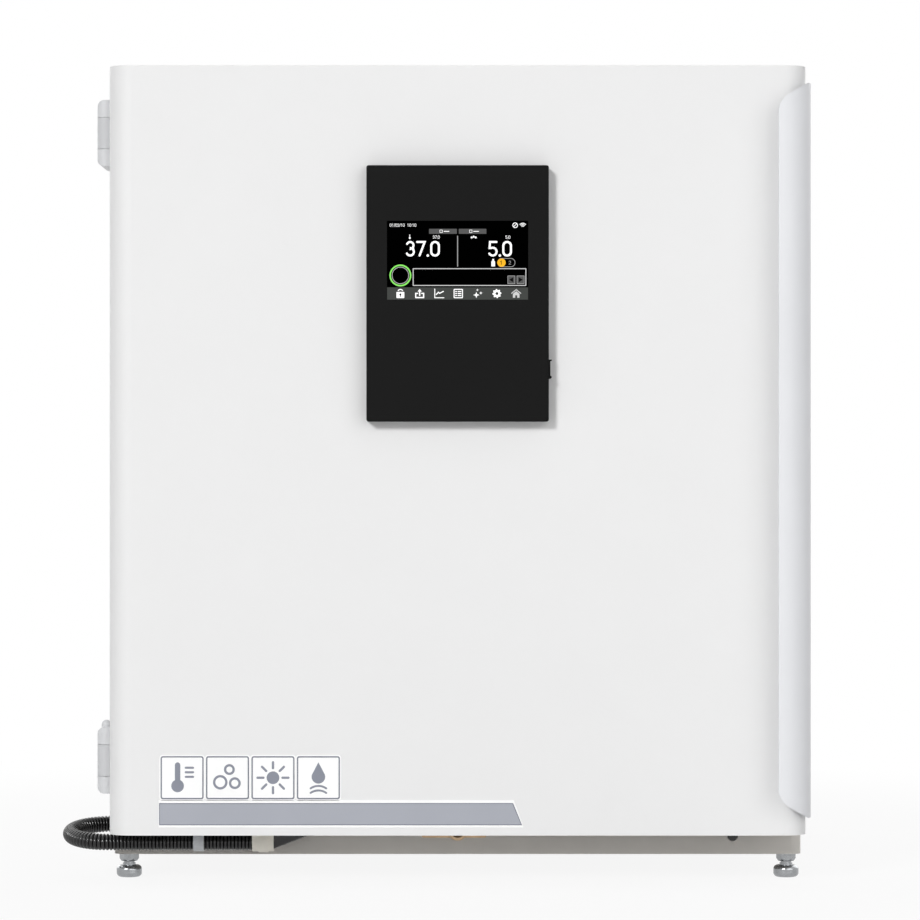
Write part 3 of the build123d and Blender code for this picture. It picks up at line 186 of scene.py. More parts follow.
def make_floor():
    """A pale floor that fades into the white studio and keeps the object's soft shadow."""
    mesh = bpy.data.meshes.new("floor")
    h = FLOOR_HALF
    corners = [(-h, -h), (h, -h), (h, h), (-h, h)]
    mesh.from_pydata([(x, y, -FLOOR_DROP) for x, y in corners], [], [(0, 1, 2, 3)])
    floor = bpy.data.objects.new("floor", mesh)
    bpy.context.scene.collection.objects.link(floor)
    material = bpy.data.materials.new("floor")
    material.use_nodes = True
    tree = material.node_tree
    tree.nodes.clear()
    place = tree.nodes.new("ShaderNodeTexCoord")
    length = tree.nodes.new("ShaderNodeVectorMath")
    length.operation = "LENGTH"
    link(tree, place.outputs["Object"], length.inputs[0])
    fade = tree.nodes.new("ShaderNodeMapRange")
    fade.interpolation_type = "SMOOTHSTEP"
    fade.inputs["From Min"].default_value = FLOOR_NEAR
    fade.inputs["From Max"].default_value = FLOOR_FAR
    fade.inputs["To Min"].default_value = FLOOR_GLOW
    fade.inputs["To Max"].default_value = WHITE
    link(tree, length.outputs["Value"], fade.inputs["Value"])
    share = tree.nodes.new("ShaderNodeMath")
    share.operation = "MULTIPLY"
    link(tree, fade.outputs[0], share.inputs[0])
    link(tree, seen_ray(tree), share.inputs[1])
    matt = tree.nodes.new("ShaderNodeBsdfDiffuse")
    matt.inputs["Color"].default_value = (FLOOR_GREY, FLOOR_GREY, FLOOR_GREY, 1)
    glow = tree.nodes.new("ShaderNodeEmission")
    glow.inputs["Color"].default_value = (1, 1, 1, 1)
    glow.inputs["Strength"].default_value = WHITE
    mix = tree.nodes.new("ShaderNodeMixShader")
    link(tree, share.outputs[0], mix.inputs[0])
    link(tree, matt.outputs[0], mix.inputs[1])
    link(tree, glow.outputs[0], mix.inputs[2])
    link(tree, mix.outputs[0], tree.nodes.new("ShaderNodeOutputMaterial").inputs["Surface"])
    mesh.materials.append(material)


# Materials


def linear(red, green, blue):
    """A colour written as 0 to 255 on screen, as the shader needs it."""
    return tuple(
        c / 255 / 12.92 if c <= 10 else ((c / 255 + 0.055) / 1.055) ** 2.4 for c in (red, green, blue)
    )


def noise(tree, place, scale, detail, stretch=(1, 1, 1)):
    """Noise over the object's own space; stretch below one draws it out along that axis."""
    mapping = tree.nodes.new("ShaderNodeMapping")
    mapping.inputs["Scale"].default_value = stretch
    link(tree, place, mapping.inputs["Vector"])
    texture = tree.nodes.new("ShaderNodeTexNoise")
    texture.inputs["Scale"].default_value = scale
    texture.inputs["Detail"].default_value = detail
    link(tree, mapping.outputs[0], texture.inputs["Vector"])
    return texture.outputs["Fac"]


NOISE_LOW, NOISE_HIGH = 0.3, 0.7


def spread(tree, value, low, high):
    """A noise value stretched over its useful middle and set between two levels."""
    ranged = tree.nodes.new("ShaderNodeMapRange")
    ranged.inputs["From Min"].default_value = NOISE_LOW
    ranged.inputs["From Max"].default_value = NOISE_HIGH
    ranged.inputs["To Min"].default_value = low
    ranged.inputs["To Max"].default_value = high
    link(tree, value, ranged.inputs["Value"])
    return ranged.outputs[0]


def finish(name, color, rough, metal=0.0, cloud=12.0, vary=0.02, rough_vary=0.05, grain=700.0,
           bump=0.03, stretch=(1, 1, 1), depth=0.0004, **shader_values):
    """A surface with slow colour clouds, a fine grain in its gloss, and a fine relief."""
    material = bpy.data.materials.new(name)
    material.use_nodes = True
    tree = material.node_tree
    shader = tree.nodes["Principled BSDF"]
    place = tree.nodes.new("ShaderNodeTexCoord").outputs["Object"]
    clouds = noise(tree, place, cloud, 3, stretch)
    fine = noise(tree, place, grain, 2, stretch)
    tint = tree.nodes.new("ShaderNodeMix")
    tint.data_type = "RGBA"
    tint.inputs["A"].default_value = (*[c * (1 - vary) for c in color], 1)
    tint.inputs["B"].default_value = (*[min(1, c * (1 + vary)) for c in color], 1)
    link(tree, spread(tree, clouds, 0, 1), tint.inputs["Factor"])
    link(tree, tint.outputs["Result"], shader.inputs["Base Color"])
    link(tree, spread(tree, fine, rough - rough_vary, rough + rough_vary), shader.inputs["Roughness"])
    relief = tree.nodes.new("ShaderNodeBump")
    relief.inputs["Strength"].default_value = bump
    relief.inputs["Distance"].default_value = depth
    link(tree, fine, relief.inputs["Height"])
    link(tree, relief.outputs[0], shader.inputs["Normal"])
    shader.inputs["Metallic"].default_value = metal
    for socket, value in shader_values.items():
        shader.inputs[socket.replace("_", " ")].default_value = value
    return material


def glass(name, color, rough):
    """Clear glass with a faint tint and faint smears in its gloss."""
    return finish(name, color, rough, vary=0.005, rough_vary=rough * 0.8, cloud=8, grain=25, bump=0.0,
                  Transmission_Weight=1.0, IOR=1.46)


UNLIT_SHARE = 0.2


def light(name, color, strength=1.0):
    """A lit part of the display, which keeps a share of its colour where no light comes from it."""
    return finish(name, tuple(c * UNLIT_SHARE for c in color), 0.5, bump=0.0,
                  Emission_Color=(*color, 1), Emission_Strength=strength, Specular_IOR_Level=0.0)


STEEL = (0.58, 0.585, 0.58)
BRUSHED = (0.04, 1, 1)

finishes = {
    "cabinet_paint": finish("cabinet_paint", linear(232, 232, 232), 0.42, vary=0.006, bump=0.05,
                            Specular_IOR_Level=0.25),
    "door_paint": finish("door_paint", linear(232, 232, 232), 0.42, vary=0.004, bump=0.04,
                         Specular_IOR_Level=0.25),
    "base_paint": finish("base_paint", linear(208, 204, 198), 0.48, vary=0.03, bump=0.08, cloud=25),
    "stainless": finish("stainless", STEEL, 0.30, metal=1.0, cloud=30, vary=0.08, grain=260, stretch=BRUSHED,
                        rough_vary=0.10, bump=0.05),
    "polished_stainless": finish("polished_stainless", (0.64, 0.645, 0.64), 0.22, metal=1.0, cloud=6,
                                 vary=0.04, grain=220, stretch=(1, 1, 0.05), rough_vary=0.06, bump=0.03),
    "zinc": finish("zinc", (0.33, 0.34, 0.35), 0.24, metal=1.0, cloud=120, vary=0.10, grain=500, bump=0.06),
    "white_plastic": finish("white_plastic", linear(214, 215, 217), 0.45, vary=0.01, grain=900, bump=0.08),
    "hinge_white": finish("hinge_white", linear(206, 207, 209), 0.42, vary=0.01, grain=700, bump=0.05,
                          Specular_IOR_Level=0.3),
    "grip_plastic": finish("grip_plastic", linear(228, 229, 232), 0.38, vary=0.01, grain=500, bump=0.03,
                           Specular_IOR_Level=0.3),
    "liner_plastic": finish("liner_plastic", linear(228, 229, 229), 0.38, vary=0.015, grain=300, bump=0.05),
    "panel_black": finish("panel_black", linear(16, 16, 16), 0.5, vary=0.03, grain=900, bump=0.02,
                          Specular_IOR_Level=0.07),
    "screen_glass": finish("screen_glass", linear(4, 4, 4), 0.25, vary=0.02, bump=0.0,
                           Specular_IOR_Level=0.05),
    "board_green": finish("board_green", linear(34, 104, 62), 0.35, vary=0.1, grain=200, bump=0.1),
    "black_plastic": finish("black_plastic", linear(13, 13, 14), 0.20, vary=0.1, grain=600, bump=0.04),
    "cream_plastic": finish("cream_plastic", linear(250, 246, 234), 0.40, vary=0.03, cloud=60, bump=0.08),
    "grey_plastic": finish("grey_plastic", linear(214, 217, 220), 0.30, vary=0.03, cloud=60, bump=0.05),
    "bronze_cap": finish("bronze_cap", (0.42, 0.30, 0.19), 0.32, metal=1.0, cloud=90, vary=0.1, bump=0.05),
    "seal_rubber": finish("seal_rubber", linear(206, 207, 206), 0.62, vary=0.02, grain=500, bump=0.1),
    "silicone": finish("silicone", linear(226, 228, 226), 0.50, vary=0.02, grain=300, bump=0.06,
                       Subsurface_Weight=0.15, Subsurface_Scale=0.004),
    "insulation": finish("insulation", linear(230, 222, 190), 0.9, vary=0.08, cloud=40, grain=400, bump=0.4),
    "clear_glass": glass("clear_glass", (0.90, 0.965, 0.94), 0.02),
    "lamp_glass": glass("lamp_glass", (0.93, 0.95, 0.97), 0.03),
}


def dress_nodes():
    """Gives each CAD node its finish, by the slot that the record names for it."""
    for part in frame["record"]["subparts"]:
        mesh = frame["nodes"][part["node"]].data
        mesh.materials.clear()
        mesh.materials.append(finishes[part["material_slot"]])


# Mesh building


def arc(u, w, r, start, end, steps=16):
    """Points round a centre, with the angles in degrees from the right, turning left."""
    angles = [math.radians(start + (end - start) * i / steps) for i in range(steps + 1)]
    return [(u + r * math.cos(a), w + r * math.sin(a)) for a in angles]


def circle(u, w, r, steps=40):
    """A full turn of points, the first not repeated."""
    return arc(u, w, r, 0, 360, steps)[:-1]


def rounded(u0, w0, u1, w1, r, steps=6):
    """A rectangle with rounded corners, turning left from its lower right."""
    centres = [(u1 - r, w0 + r, -90), (u1 - r, w1 - r, 0), (u0 + r, w1 - r, 90), (u0 + r, w0 + r, 180)]
    return [p for cu, cw, a in centres for p in arc(cu, cw, r, a, a + 90, steps)]


class Shape:
    """A mesh in the making. Flat figures stand upright and face forward, u to the right and w up."""

    def __init__(self):
        self.vertices = []
        self.faces = []

    def add(self, vertices, faces):
        first = len(self.vertices)
        self.vertices += vertices
        self.faces += [tuple(first + i for i in face) for face in faces]

    def plate(self, outline, front, back):
        """A flat figure of one outline, between two depths."""
        n = len(outline)
        points = [at(u, y, w) for y in (front, back) for u, w in outline]
        sides = [(i, n + i, n + (i + 1) % n, (i + 1) % n) for i in range(n)]
        self.add(points, [tuple(range(n)), tuple(reversed(range(n, 2 * n))), *sides])

    def band(self, outer, inner, front, back):
        """A flat ring between two outlines with as many points."""
        n = len(outer)
        points = [at(u, y, w) for y in (front, back) for line in (outer, inner) for u, w in line]
        faces = []
        for i in range(n):
            j = (i + 1) % n
            faces += [(i, j, n + j, n + i), (3 * n + i, 3 * n + j, 2 * n + j, 2 * n + i)]
            faces += [(i, 2 * n + i, 2 * n + j, j), (n + j, 3 * n + j, 3 * n + i, n + i)]
        self.add(points, faces)

    def stroke(self, line, wide, front, back):
        """A drawn line of even width with round ends."""
        r = wide / 2
        most_bent = 0.5
        points = [Vector(p) for p in line]
        left, right = [], []
        for i, p in enumerate(points):
            before = (p - points[i - 1]).normalized() if i else None
            after = (points[i + 1] - p).normalized() if i < len(points) - 1 else None
            along = ((before or after) + (after or before)).normalized()
            reach = r / max(most_bent, along.dot(after or before))
            side = Vector((-along.y, along.x)) * reach
            left.append(tuple(p + side))
            right.append(tuple(p - side))
        turn = math.degrees(math.atan2(*(points[-1] - points[-2]).yx))
        cap = arc(*points[-1], r, turn - 90, turn + 90, 6)[1:-1]
        turn = math.degrees(math.atan2(*(points[0] - points[1]).yx))
        tail = arc(*points[0], r, turn - 90, turn + 90, 6)[1:-1]
        self.plate(right + cap + left[::-1] + tail, front, back)


def object_of(name, shape, material, smooth_angle=None):
    """The finished mesh as an object, with every face turned outward."""
    mesh = bpy.data.meshes.new(name)
    mesh.from_pydata(shape.vertices, [], shape.faces)
    work = bmesh.new()
    work.from_mesh(mesh)
    bmesh.ops.recalc_face_normals(work, faces=work.faces)
    work.to_mesh(mesh)
    work.free()
    if smooth_angle is not None:
        mesh.polygons.foreach_set("use_smooth", [True] * len(mesh.polygons))
        mesh.set_sharp_from_angle(angle=math.radians(smooth_angle))
    mesh.materials.append(material)
    obj = bpy.data.objects.new(name, mesh)
    bpy.context.scene.collection.objects.link(obj)
    return obj


def piece(name, shape, material, body):
    """Puts a finished shape on one body."""
    obj = object_of(name, shape, material)
    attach(obj, body)


# The display's picture. Its own sizes are in millimetres from the middle of the glass.


SKIN = 0.03
LOWER_RIM = 6.0
UPPER_RIM = 4.0
SCREEN_HALF = 77.3
(module_left, module_face, module_low), (module_right, _, module_high) = sizes("screen_module")
SCREEN_LOW = module_low + LOWER_RIM
SCREEN_HIGH = module_high - UPPER_RIM

# Each figure is one or more strokes, in a square one unit high from its lower left corner.
GLYPHS = {
    "0": [rounded(0, 0, 0.56, 1, 0.28)],
    "1": [[(0.08, 0.78), (0.32, 1), (0.32, 0)]],
    "2": [arc(0.28, 0.73, 0.27, 170, -25, 10) + [(0, 0), (0.58, 0)]],
    "3": [arc(0.27, 0.75, 0.25, 155, -80, 10) + arc(0.27, 0.27, 0.27, 80, -155, 12)],
    "5": [[(0.54, 1), (0.06, 1), (0.03, 0.55)] + arc(0.26, 0.29, 0.29, 115, -150, 12)],
    "7": [[(0, 1), (0.56, 1), (0.18, 0)]],
    "/": [[(0, -0.05), (0.3, 1.05)]],
    ".": [[(0.0, 0.0), (0.01, 0.0)]],
    ":": [[(0.05, 0.2), (0.06, 0.2)], [(0.05, 0.7), (0.06, 0.7)]],
    " ": [],
}
PLAIN_ADVANCE = 0.78
NARROW_ADVANCE = {".": 0.26, ":": 0.3, "/": 0.44, " ": 0.4}
DOT_WEIGHT = 1.25


class Display:
    """The picture on the glass, one mesh for each colour."""

    def __init__(self):
        self.face = module_face
        self.u0 = (module_left + module_right) / 2
        self.w0 = (SCREEN_LOW + SCREEN_HIGH) / 2
        self.layers = {}

    def layer(self, name, step):
        """The shape of one colour, with the depths that its step in front of the glass gives."""
        shape = self.layers.setdefault(name, Shape())
        return shape, self.face - SKIN * (step + 1), self.face - SKIN * step

    def place(self, points):
        """Points measured from the glass's middle, as places on the cabinet."""
        return [(self.u0 + u, self.w0 + w) for u, w in points]

    def fill(self, name, step, outline):
        shape, front, back = self.layer(name, step)
        shape.plate(self.place(outline), front, back)

    def ring(self, name, step, outer, inner):
        shape, front, back = self.layer(name, step)
        shape.band(self.place(outer), self.place(inner), front, back)

    def line(self, name, step, points, wide):
        shape, front, back = self.layer(name, step)
        shape.stroke(self.place(points), wide, front, back)

    def number(self, name, step, text, u, w, tall, wide):
        """Plain figures drawn as strokes; u and w are the lower left corner."""
        for mark in text:
            for stroke in GLYPHS[mark]:
                points = [(u + a * tall, w + b * tall) for a, b in stroke]
                if mark == "0":
                    self.loop(name, step, points, wide)
                else:
                    self.line(name, step, points, wide * (DOT_WEIGHT if mark in ".:" else 1))
            u += tall * NARROW_ADVANCE.get(mark, PLAIN_ADVANCE)

    def loop(self, name, step, points, wide):
        """A closed stroke of even width."""
        middle_u = sum(p[0] for p in points) / len(points)
        middle_w = sum(p[1] for p in points) / len(points)
        size_u = max(p[0] for p in points) - middle_u
        size_w = max(p[1] for p in points) - middle_w

        def grown(by):
            wide_by, tall_by = 1 + by / size_u, 1 + by / size_w
            return [
                (middle_u + (u - middle_u) * wide_by, middle_w + (w - middle_w) * tall_by) for u, w in points
            ]

        self.ring(name, step, grown(wide / 2), grown(-wide / 2))


# The seven marks along the foot, each drawn round its own middle


def icon_lock(display, u, w):
    """A shut padlock."""
    display.fill("white", 3, rounded(u - 4.3, w - 5.0, u + 4.3, w + 1.8, 0.6))
    display.line("white", 3, arc(u, w + 1.6, 2.9, 35, 145, 8), 1.1)
    display.fill("shade", 4, circle(u, w - 1.0, 1.1, 12))
    display.line("shade", 4, [(u, w - 1.2), (u, w - 3.2)], 0.9)


def icon_tray(display, u, w):
    """An arrow out of an open tray."""
    left, right, rim, low = u - 4.3, u + 4.3, w + 0.2, w - 4.4
    tray = [(u - 2.2, rim), (left, rim), (left, low), (right, low), (right, rim), (u + 2.2, rim)]
    display.line("white", 3, tray, 1.3)
    display.line("white", 3, [(u, w - 2.0), (u, w + 3.4)], 1.4)
    display.fill("white", 4, [(u - 2.3, w + 2.2), (u + 2.3, w + 2.2), (u, w + 5.0)])


def icon_chart(display, u, w):
    """A curve over two axes."""
    axes = [(u - 4.6, w + 5.0), (u - 4.6, w - 4.6), (u + 5.4, w - 4.6)]
    curve = [(u - 3.0, w - 1.0), (u - 0.6, w + 1.4), (u + 0.8, w + 0.2), (u + 4.8, w + 2.4)]
    display.line("white", 3, axes, 0.9)
    display.line("white", 3, curve, 1.1)


def icon_list(display, u, w):
    """Three rows in a frame."""
    half = 4.6
    display.loop("white", 3, rounded(u - half, w - half, u + half, w + half, 0.9), 1.0)
    for row in (-2.2, 0, 2.2):
        display.line("white", 3, [(u - 2.9, w + row), (u - 1.9, w + row)], 1.1)
        display.line("white", 3, [(u - 0.2, w + row), (u + 2.9, w + row)], 1.1)


STAR_WAIST = 0.34


def star(u, w, r):
    """A four-pointed star."""
    points = []
    for i in range(8):
        reach = r if i % 2 == 0 else r * STAR_WAIST
        a = i * math.pi / 4
        points.append((u + reach * math.cos(a), w + reach * math.sin(a)))
    return points


def icon_stars(display, u, w):
    """One large star with two small ones."""
    for du, dw, r in ((-1.4, -1.6, 3.6), (3.6, 0.6, 1.9), (-0.2, 3.9, 1.5)):
        display.fill("white", 3, star(u + du, w + dw, r))


def icon_gear(display, u, w):
    """A wheel with eight teeth and a round hole."""
    steps = 32
    teeth = []
    for i in range(steps):
        r = 5.0 if i % 4 in (0, 1) else 3.9
        a = 2 * math.pi * i / steps
        teeth.append((u + r * math.cos(a), w + r * math.sin(a)))
    display.ring("white", 3, teeth, circle(u, w, 1.6, steps))


def icon_home(display, u, w):
    """A house under a wide roof, greyed."""
    roof = [(u - 5.0, w + 0.2), (u, w + 4.3), (u + 5.0, w + 0.2)]
    display.line("pale", 3, roof, 1.0)
    floor, lintel, half, door = w - 4.6, w - 1.9, 3.6, 1.1
    ground = [(u - half, floor), (u - door, floor), (u - door, lintel), (u + door, lintel), (u + door, floor)]
    walls = [(u + half, floor), (u + half, w - 0.3), (u, w + 2.6), (u - half, w - 0.3)]
    display.fill("pale", 4, ground + walls)


DATE_PLACE = (-74.2, 37.0)
DATE_TALL, DATE_STROKE = 3.0, 0.36
NO_SOUND = (63.1, 38.4)
SIGNAL = (71.4, 36.2)
LABEL_BARS = ((-31.3, -0.8), (1.3, 31.5))
BAR_LOW, BAR_HIGH = 29.0, 34.5
SMALL_LOW, SMALL_TALL, SMALL_STROKE = 23.8, 3.1, 0.42
READING_LOW, READING_TALL, READING_STROKE = 5.2, 14.9, 2.2
WARMTH_LEFT, GAS_LEFT = -56.0, 34.6
SET_WARMTH_LEFT, SET_GAS_LEFT = -27.2, 52.6
THERMOMETER = (-52.4, 24.4)
MOLECULE = (17.6, 25.0)
RING_CENTRE = (-62.7, -16.6)
BUTTONS = ((58.9, -1), (69.0, 1))
BUTTON_LOW, BUTTON_HIGH, BUTTON_HALF = -25.8, -16.9, 4.1
ARROW_MIDDLE, ARROW_RISE = -21.3, 2.7
ICON_FIRST, ICON_PITCH, ICON_RISE = -62.7, 21.15, 6.8
FOOT_BAR = 13.6


def display_top(display):
    """The row along the top: plain figures, two marks and two grey label bars."""
    display.number("white", 2, "01/02/10  10:10", *DATE_PLACE, DATE_TALL, DATE_STROKE)
    u, w = NO_SOUND
    display.ring("white", 2, circle(u, w, 3.0, 24), circle(u, w, 2.2, 24))
    display.line("white", 3, [(u - 1.9, w - 1.9), (u + 1.9, w + 1.9)], 0.8)
    for r in (1.4, 2.9, 4.4):
        display.line("white", 2, arc(*SIGNAL, r, 45, 135, 8), 0.8)
    for u0, u1 in LABEL_BARS:
        display.fill("bar", 2, rounded(u0, BAR_LOW, u1, BAR_HIGH, 0.5, 3))
        middle = (u0 + u1) / 2
        display.loop("white", 3, rounded(middle - 3.4, 30.4, middle - 0.6, 33.2, 0.4, 3), 0.45)
        display.line("white", 3, [(middle + 1.2, 31.7), (middle + 6.6, 31.7)], 0.8)


def display_values(display):
    """The two readings with their set values, and the line between them."""
    display.fill("grey", 2, rounded(-0.5, -6.9, 0.5, 26.9, 0.3, 3))
    u, w = THERMOMETER
    display.line("white", 2, [(u, w), (u, w + 3.6)], 0.7)
    display.fill("white", 2, circle(u, w, 1.1, 16))
    display.number("white", 2, "37.0", SET_WARMTH_LEFT, SMALL_LOW, SMALL_TALL, SMALL_STROKE)
    u, w = MOLECULE
    for du, dw in ((-2.2, 0.0), (2.2, 0.0), (0.0, 0.9)):
        display.fill("white", 2, circle(u + du, w + dw, 1.1, 16))
    display.number("white", 2, "5.0", SET_GAS_LEFT, SMALL_LOW, SMALL_TALL, SMALL_STROKE)
    display.number("white", 2, "37.0", WARMTH_LEFT, READING_LOW, READING_TALL, READING_STROKE)
    display.number("white", 2, "5.0", GAS_LEFT, READING_LOW, READING_TALL, READING_STROKE)


def display_gas(display):
    """A gas bottle, and a pill with two plain figures that tell the bottle in use."""
    left, right, foot, shoulder, neck, top = 37.0, 41.0, -6.7, -1.6, -0.2, 1.5
    slope = 1.1
    body = [(left, foot), (right, foot), (right, shoulder), (right - slope, neck), (right - slope, top)]
    display.fill("white", 2, body + [(left + slope, top), (left + slope, neck), (left, shoulder)])
    display.loop("grey", 2, rounded(43.9, -7.1, 62.9, 2.0, 4.4, 8), 0.6)
    display.fill("amber", 3, circle(48.1, -2.6, 4.6, 32))
    display.number("shade", 4, "1", 46.7, -4.5, 3.8, 0.7)
    display.number("grey", 3, "2", 56.2, -4.4, 3.6, 0.5)


def display_message(display):
    """The ring on the left and the framed box with its two arrow buttons."""
    for name, outer, inner in (("green", 12.0, 10.3), ("pale", 9.3, 8.8)):
        display.ring(name, 2, circle(*RING_CENTRE, outer, 64), circle(*RING_CENTRE, inner, 64))
    display.loop("pale", 2, rounded(-48.7, -27.6, 74.8, -9.2, 0.4, 2), 0.9)
    half, rim = BUTTON_HALF, 0.2
    for u, turn in BUTTONS:
        display.fill("bar", 2, rounded(u - half, BUTTON_LOW, u + half, BUTTON_HIGH, 0.3, 2))
        frame_line = rounded(u - half + rim, BUTTON_LOW + rim, u + half - rim, BUTTON_HIGH - rim, 0.3, 2)
        display.loop("grey", 3, frame_line, 0.6)
        back, tip = u - 2 * turn, u + 2.4 * turn
        arrow = [(back, ARROW_MIDDLE - ARROW_RISE), (tip, ARROW_MIDDLE), (back, ARROW_MIDDLE + ARROW_RISE)]
        display.fill("shade", 3, arrow)


ICONS = [icon_lock, icon_tray, icon_chart, icon_list, icon_stars, icon_gear, icon_home]


def make_display():
    """The lit picture: a dark field, readings, and a grey bar of seven marks along its foot."""
    display = Display()
    low, high = SCREEN_LOW - display.w0, SCREEN_HIGH - display.w0
    display.fill("field", 0, rounded(-SCREEN_HALF, low, SCREEN_HALF, high, 0.3, 2))
    rim = 0.1
    foot = rounded(-SCREEN_HALF + rim, low + rim, SCREEN_HALF - rim, low + FOOT_BAR, 0.2, 2)
    display.fill("foot", 1, foot)
    for i, icon in enumerate(ICONS):
        icon(display, ICON_FIRST + ICON_PITCH * i, low + ICON_RISE)
    display_top(display)
    display_values(display)
    display_gas(display)
    display_message(display)
    colours = {
        "field": light("display_black", linear(2, 2, 2), 0.2),
        "foot": light("display_foot", linear(66, 68, 66)),
        "bar": light("display_bar", linear(84, 84, 84)),
        "shade": light("display_shade", linear(16, 16, 16)),
        "grey": light("display_grey", linear(150, 150, 150)),
        "pale": light("display_pale", linear(196, 196, 196)),
        "white": light("display_white", linear(254, 254, 254)),
        "green": light("display_green", linear(132, 222, 100)),
        "amber": light("display_amber", linear(240, 176, 42)),
    }
    for name, shape in display.layers.items():
        piece(f"display_{name}", shape, colours[name], "outer_door")


# Printed sheet on the door: four framed squares over a plain band


SHEET_LEFT = -328.5
SQUARE = 47.4
SQUARE_PITCH = 50.0
SQUARE_LOW = 96.0
BAND_LOW, BAND_HIGH = 67.4, 91.8
BAND_RIGHT_LOW, BAND_RIGHT_HIGH = 71.0, 61.0
BAND_OUTLINE = 0.9
BAND_LEFT_MARGIN, BAND_FOOT_MARGIN, BAND_TOP_MARGIN = 0.5, 2.4, 3.4
BAND_END_FOOT_MARGIN, BAND_END_TOP_MARGIN = 1.5, 0.8
FRAME_WIDTH = 1.5
FRAME_CORNER, FRAME_INNER_CORNER = 2.6, 1.4
SQUARE_MARGIN, SQUARE_RIGHT_MARGIN = 1.4, 1.2
SQUARE_CORNER = 3.2
SQUARE_INSET = 1.6
SHEET_SEAT = 0.02
SHEET_FACE = 0.14
INK = 0.05
INK_GAP = 0.005
RAYS = 8
RAY_NEAR, RAY_FAR = 10.5, 17.0


def mark_warmth(shape, u, w, front, back):
    """A thermometer with three level marks."""
    shape.stroke([(u - 5, w - 4), (u - 5, w + 14)], 6.0, front, back)
    shape.plate(circle(u - 5, w - 9, 7.0), front - SKIN, back)
    for i in range(3):
        shape.stroke([(u + 4, w + 1 + 5 * i), (u + 12, w + 1 + 5 * i)], 2.4, front, back)


def mark_gas(shape, u, w, front, back):
    """Three rings, two below and one above."""
    for du, dw, r in ((-8, -5, 8.0), (8, -6, 6.5), (2, 9, 6.0)):
        shape.band(circle(u + du, w + dw, r), circle(u + du, w + dw, r - 2.6), front, back)


def mark_light(shape, u, w, front, back):
    """A round lamp with eight rays."""
    shape.plate(circle(u, w, 7.0), front, back)
    for i in range(RAYS):
        a = math.radians(360 / RAYS * i)
        line = [(u + r * math.cos(a), w + r * math.sin(a)) for r in (RAY_NEAR, RAY_FAR)]
        shape.stroke(line, 2.6, front, back)


def mark_water(shape, u, w, front, back):
    """A drop over two ripples."""
    shape.plate(arc(u, w + 1, 7.5, -215, 35, 24) + [(u, w + 17)], front, back)
    for i in range(2):
        shape.stroke(arc(u, w - 24 - 5 * i, 15, 55, 125, 12), 2.2, front, back)


def make_sheet():
    """White squares with grey frames and plain signs, over a bare grey band."""
    (_, face, _), _ = sizes("door_skin")
    white, grey, frames, band = Shape(), Shape(), Shape(), Shape()
    back, front = face - SHEET_SEAT, face - SHEET_FACE
    ink = front - INK, front - INK_GAP
    low, high, rim = SQUARE_LOW, SQUARE_LOW + SQUARE, SQUARE_MARGIN
    for i, mark in enumerate((mark_warmth, mark_gas, mark_light, mark_water)):
        u0 = SHEET_LEFT + SQUARE_INSET + SQUARE_PITCH * i
        u1 = u0 + SQUARE
        right = u1 + SQUARE_RIGHT_MARGIN
        white.plate(rounded(u0 - rim, low - rim, right, high + rim, SQUARE_CORNER), front, back)
        wide = FRAME_WIDTH
        frame_in = rounded(u0 + wide, low + wide, u1 - wide, high - wide, FRAME_INNER_CORNER)
        frames.band(rounded(u0, low, u1, high, FRAME_CORNER), frame_in, *ink)
        mark(grey, u0 + SQUARE / 2, low + SQUARE / 2, *ink)
    left = SHEET_LEFT
    foot, top = BAND_LOW - BAND_FOOT_MARGIN, BAND_HIGH + BAND_TOP_MARGIN
    right_foot = BAND_RIGHT_LOW + BAND_END_FOOT_MARGIN
    right_top = BAND_RIGHT_HIGH + BAND_END_TOP_MARGIN
    edge = left - BAND_LEFT_MARGIN
    white.plate([(edge, foot), (right_foot, foot), (right_top, top), (edge, top)], front, back)

    def bar(inset):
        """The band's outline drawn in by a little; its slanted end moves more at the foot than at the top."""
        return [(left + inset, BAND_LOW + inset), (BAND_RIGHT_LOW - 1.3 * inset, BAND_LOW + inset),
                (BAND_RIGHT_HIGH - 0.8 * inset, BAND_HIGH - inset), (left + inset, BAND_HIGH - inset)]

    band.plate(bar(BAND_OUTLINE), *ink)
    frames.band(bar(0.0), bar(BAND_OUTLINE), *ink)
    print_grey = finish("print_grey", linear(132, 136, 148), 0.45, bump=0.0)
    print_frame = finish("print_frame", linear(112, 116, 128), 0.45, bump=0.0)
    print_band = finish("print_band", linear(165, 168, 177), 0.42, bump=0.0)
    print_white = finish("print_white", linear(252, 252, 252), 0.38, bump=0.0)
    piece("door_sheet", white, print_white, "outer_door")
    piece("door_sheet_frames", frames, print_frame, "outer_door")
    piece("door_sheet_signs", grey, print_grey, "outer_door")
    piece("door_sheet_band", band, print_band, "outer_door")


# Corrugated conduit


CORRUGATION = 4.0
GROOVE = 1.7
# The wall's height along one corrugation, from the groove's foot to the crest
RING_HEIGHTS = (0.0, 0.5, 0.88, 1.0, 1.0, 1.0, 0.88, 0.5)
AROUND = 40
SMOOTH_ANGLE = 75


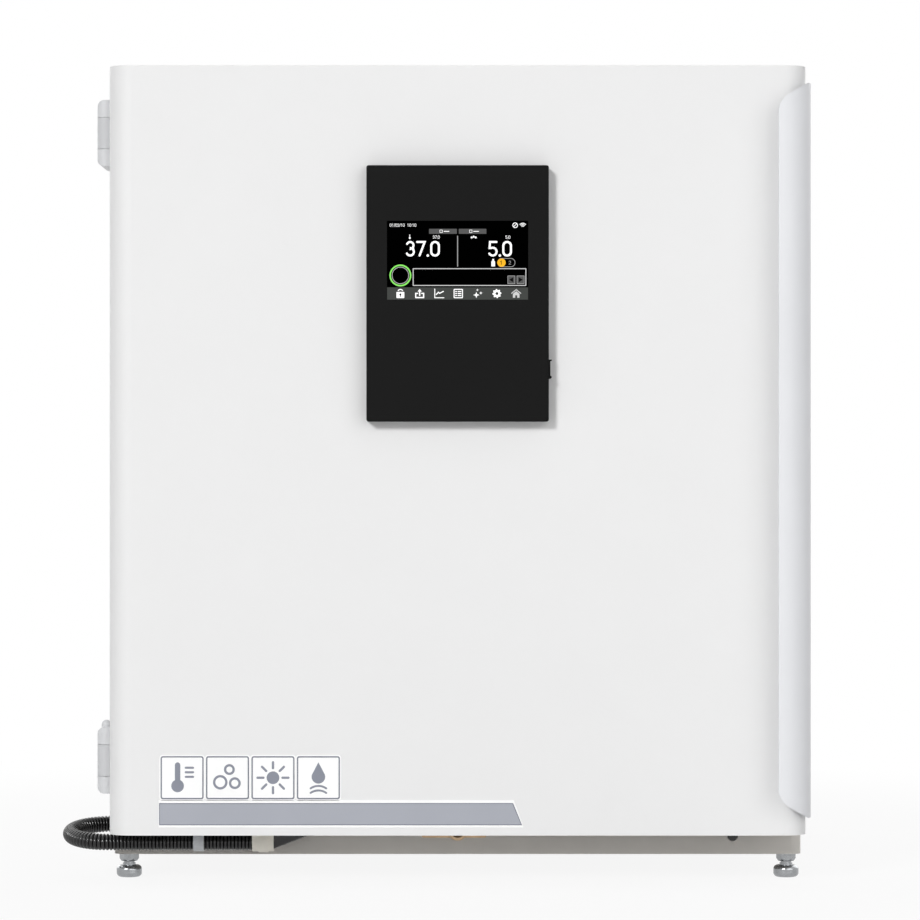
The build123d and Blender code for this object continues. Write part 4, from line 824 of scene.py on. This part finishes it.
def conduit_line():
    """The conduit's middle line with its directions: half a turn round the corner, then straight."""
    (_, run_front, run_low), (run_end, run_back, run_high) = sizes("conduit_run")
    (gland_left, gland_front, gland_low), (_, gland_back, gland_high) = sizes("conduit_gland")
    radius = (run_high - run_low) / 2
    start = Vector((gland_left, (gland_front + gland_back) / 2, (gland_low + gland_high) / 2))
    turn = Vector((gland_left, (run_front + run_back) / 2, (run_low + run_high) / 2))
    middle, chord = (start + turn) / 2, (start - turn) / 2
    bend = chord.length
    step = CORRUGATION / len(RING_HEIGHTS)
    bend_length = math.pi * bend
    total = bend_length + run_end - gland_left
    places = []
    for i in range(int(total / step) + 1):
        s = i * step
        if s < bend_length:
            a = s / bend
            where = middle + chord * math.cos(a) + Vector((-bend * math.sin(a), 0, 0))
            along = (-chord.normalized() * math.sin(a) + Vector((-math.cos(a), 0, 0))).normalized()
        else:
            where = turn + Vector((s - bend_length, 0, 0))
            along = Vector((1, 0, 0))
        places.append((where, along, RING_HEIGHTS[i % len(RING_HEIGHTS)]))
    return places, radius


def make_conduit():
    """The corrugated tube, which bends between the cabinet and the door."""
    places, radius = conduit_line()
    points, faces = [], []
    for where, along, lift in places:
        side = along.cross(Vector((0, 0, 1))).normalized()
        up = side.cross(along)
        r = radius - GROOVE * (1 - lift)
        for k in range(AROUND):
            a = 2 * math.pi * k / AROUND
            points.append(at(*(where + (side * math.cos(a) + up * math.sin(a)) * r)))
    for i in range(len(places) - 1):
        for k in range(AROUND):
            n = (k + 1) % AROUND
            faces.append((i * AROUND + k, i * AROUND + n, (i + 1) * AROUND + n, (i + 1) * AROUND + k))
    last = (len(places) - 1) * AROUND
    faces += [tuple(reversed(range(AROUND))), tuple(range(last, last + AROUND))]
    shape = Shape()
    shape.add(points, faces)
    tube = object_of("conduit_tube", shape, finishes["black_plastic"], SMOOTH_ANGLE)
    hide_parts("conduit_loop", "conduit_run")
    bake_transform(tube)


make_camera()
make_world()
make_sun("key", KEY_TURN, KEY_RISE, KEY_STRENGTH, KEY_SPREAD)
make_sun("fill", FILL_TURN, FILL_RISE, FILL_STRENGTH, FILL_SPREAD)
make_sun("top", TOP_TURN, TOP_RISE, TOP_STRENGTH, SOFT_SPREAD)
make_sun("rear_left", REAR_LEFT_TURN, REAR_RISE, REAR_STRENGTH, SOFT_SPREAD)
make_sun("rear_right", REAR_RIGHT_TURN, REAR_RISE, REAR_STRENGTH, SOFT_SPREAD)
make_floor()
dress_nodes()
make_display()
make_sheet()
make_conduit()

bpy.context.scene.view_settings.view_transform = "Standard"
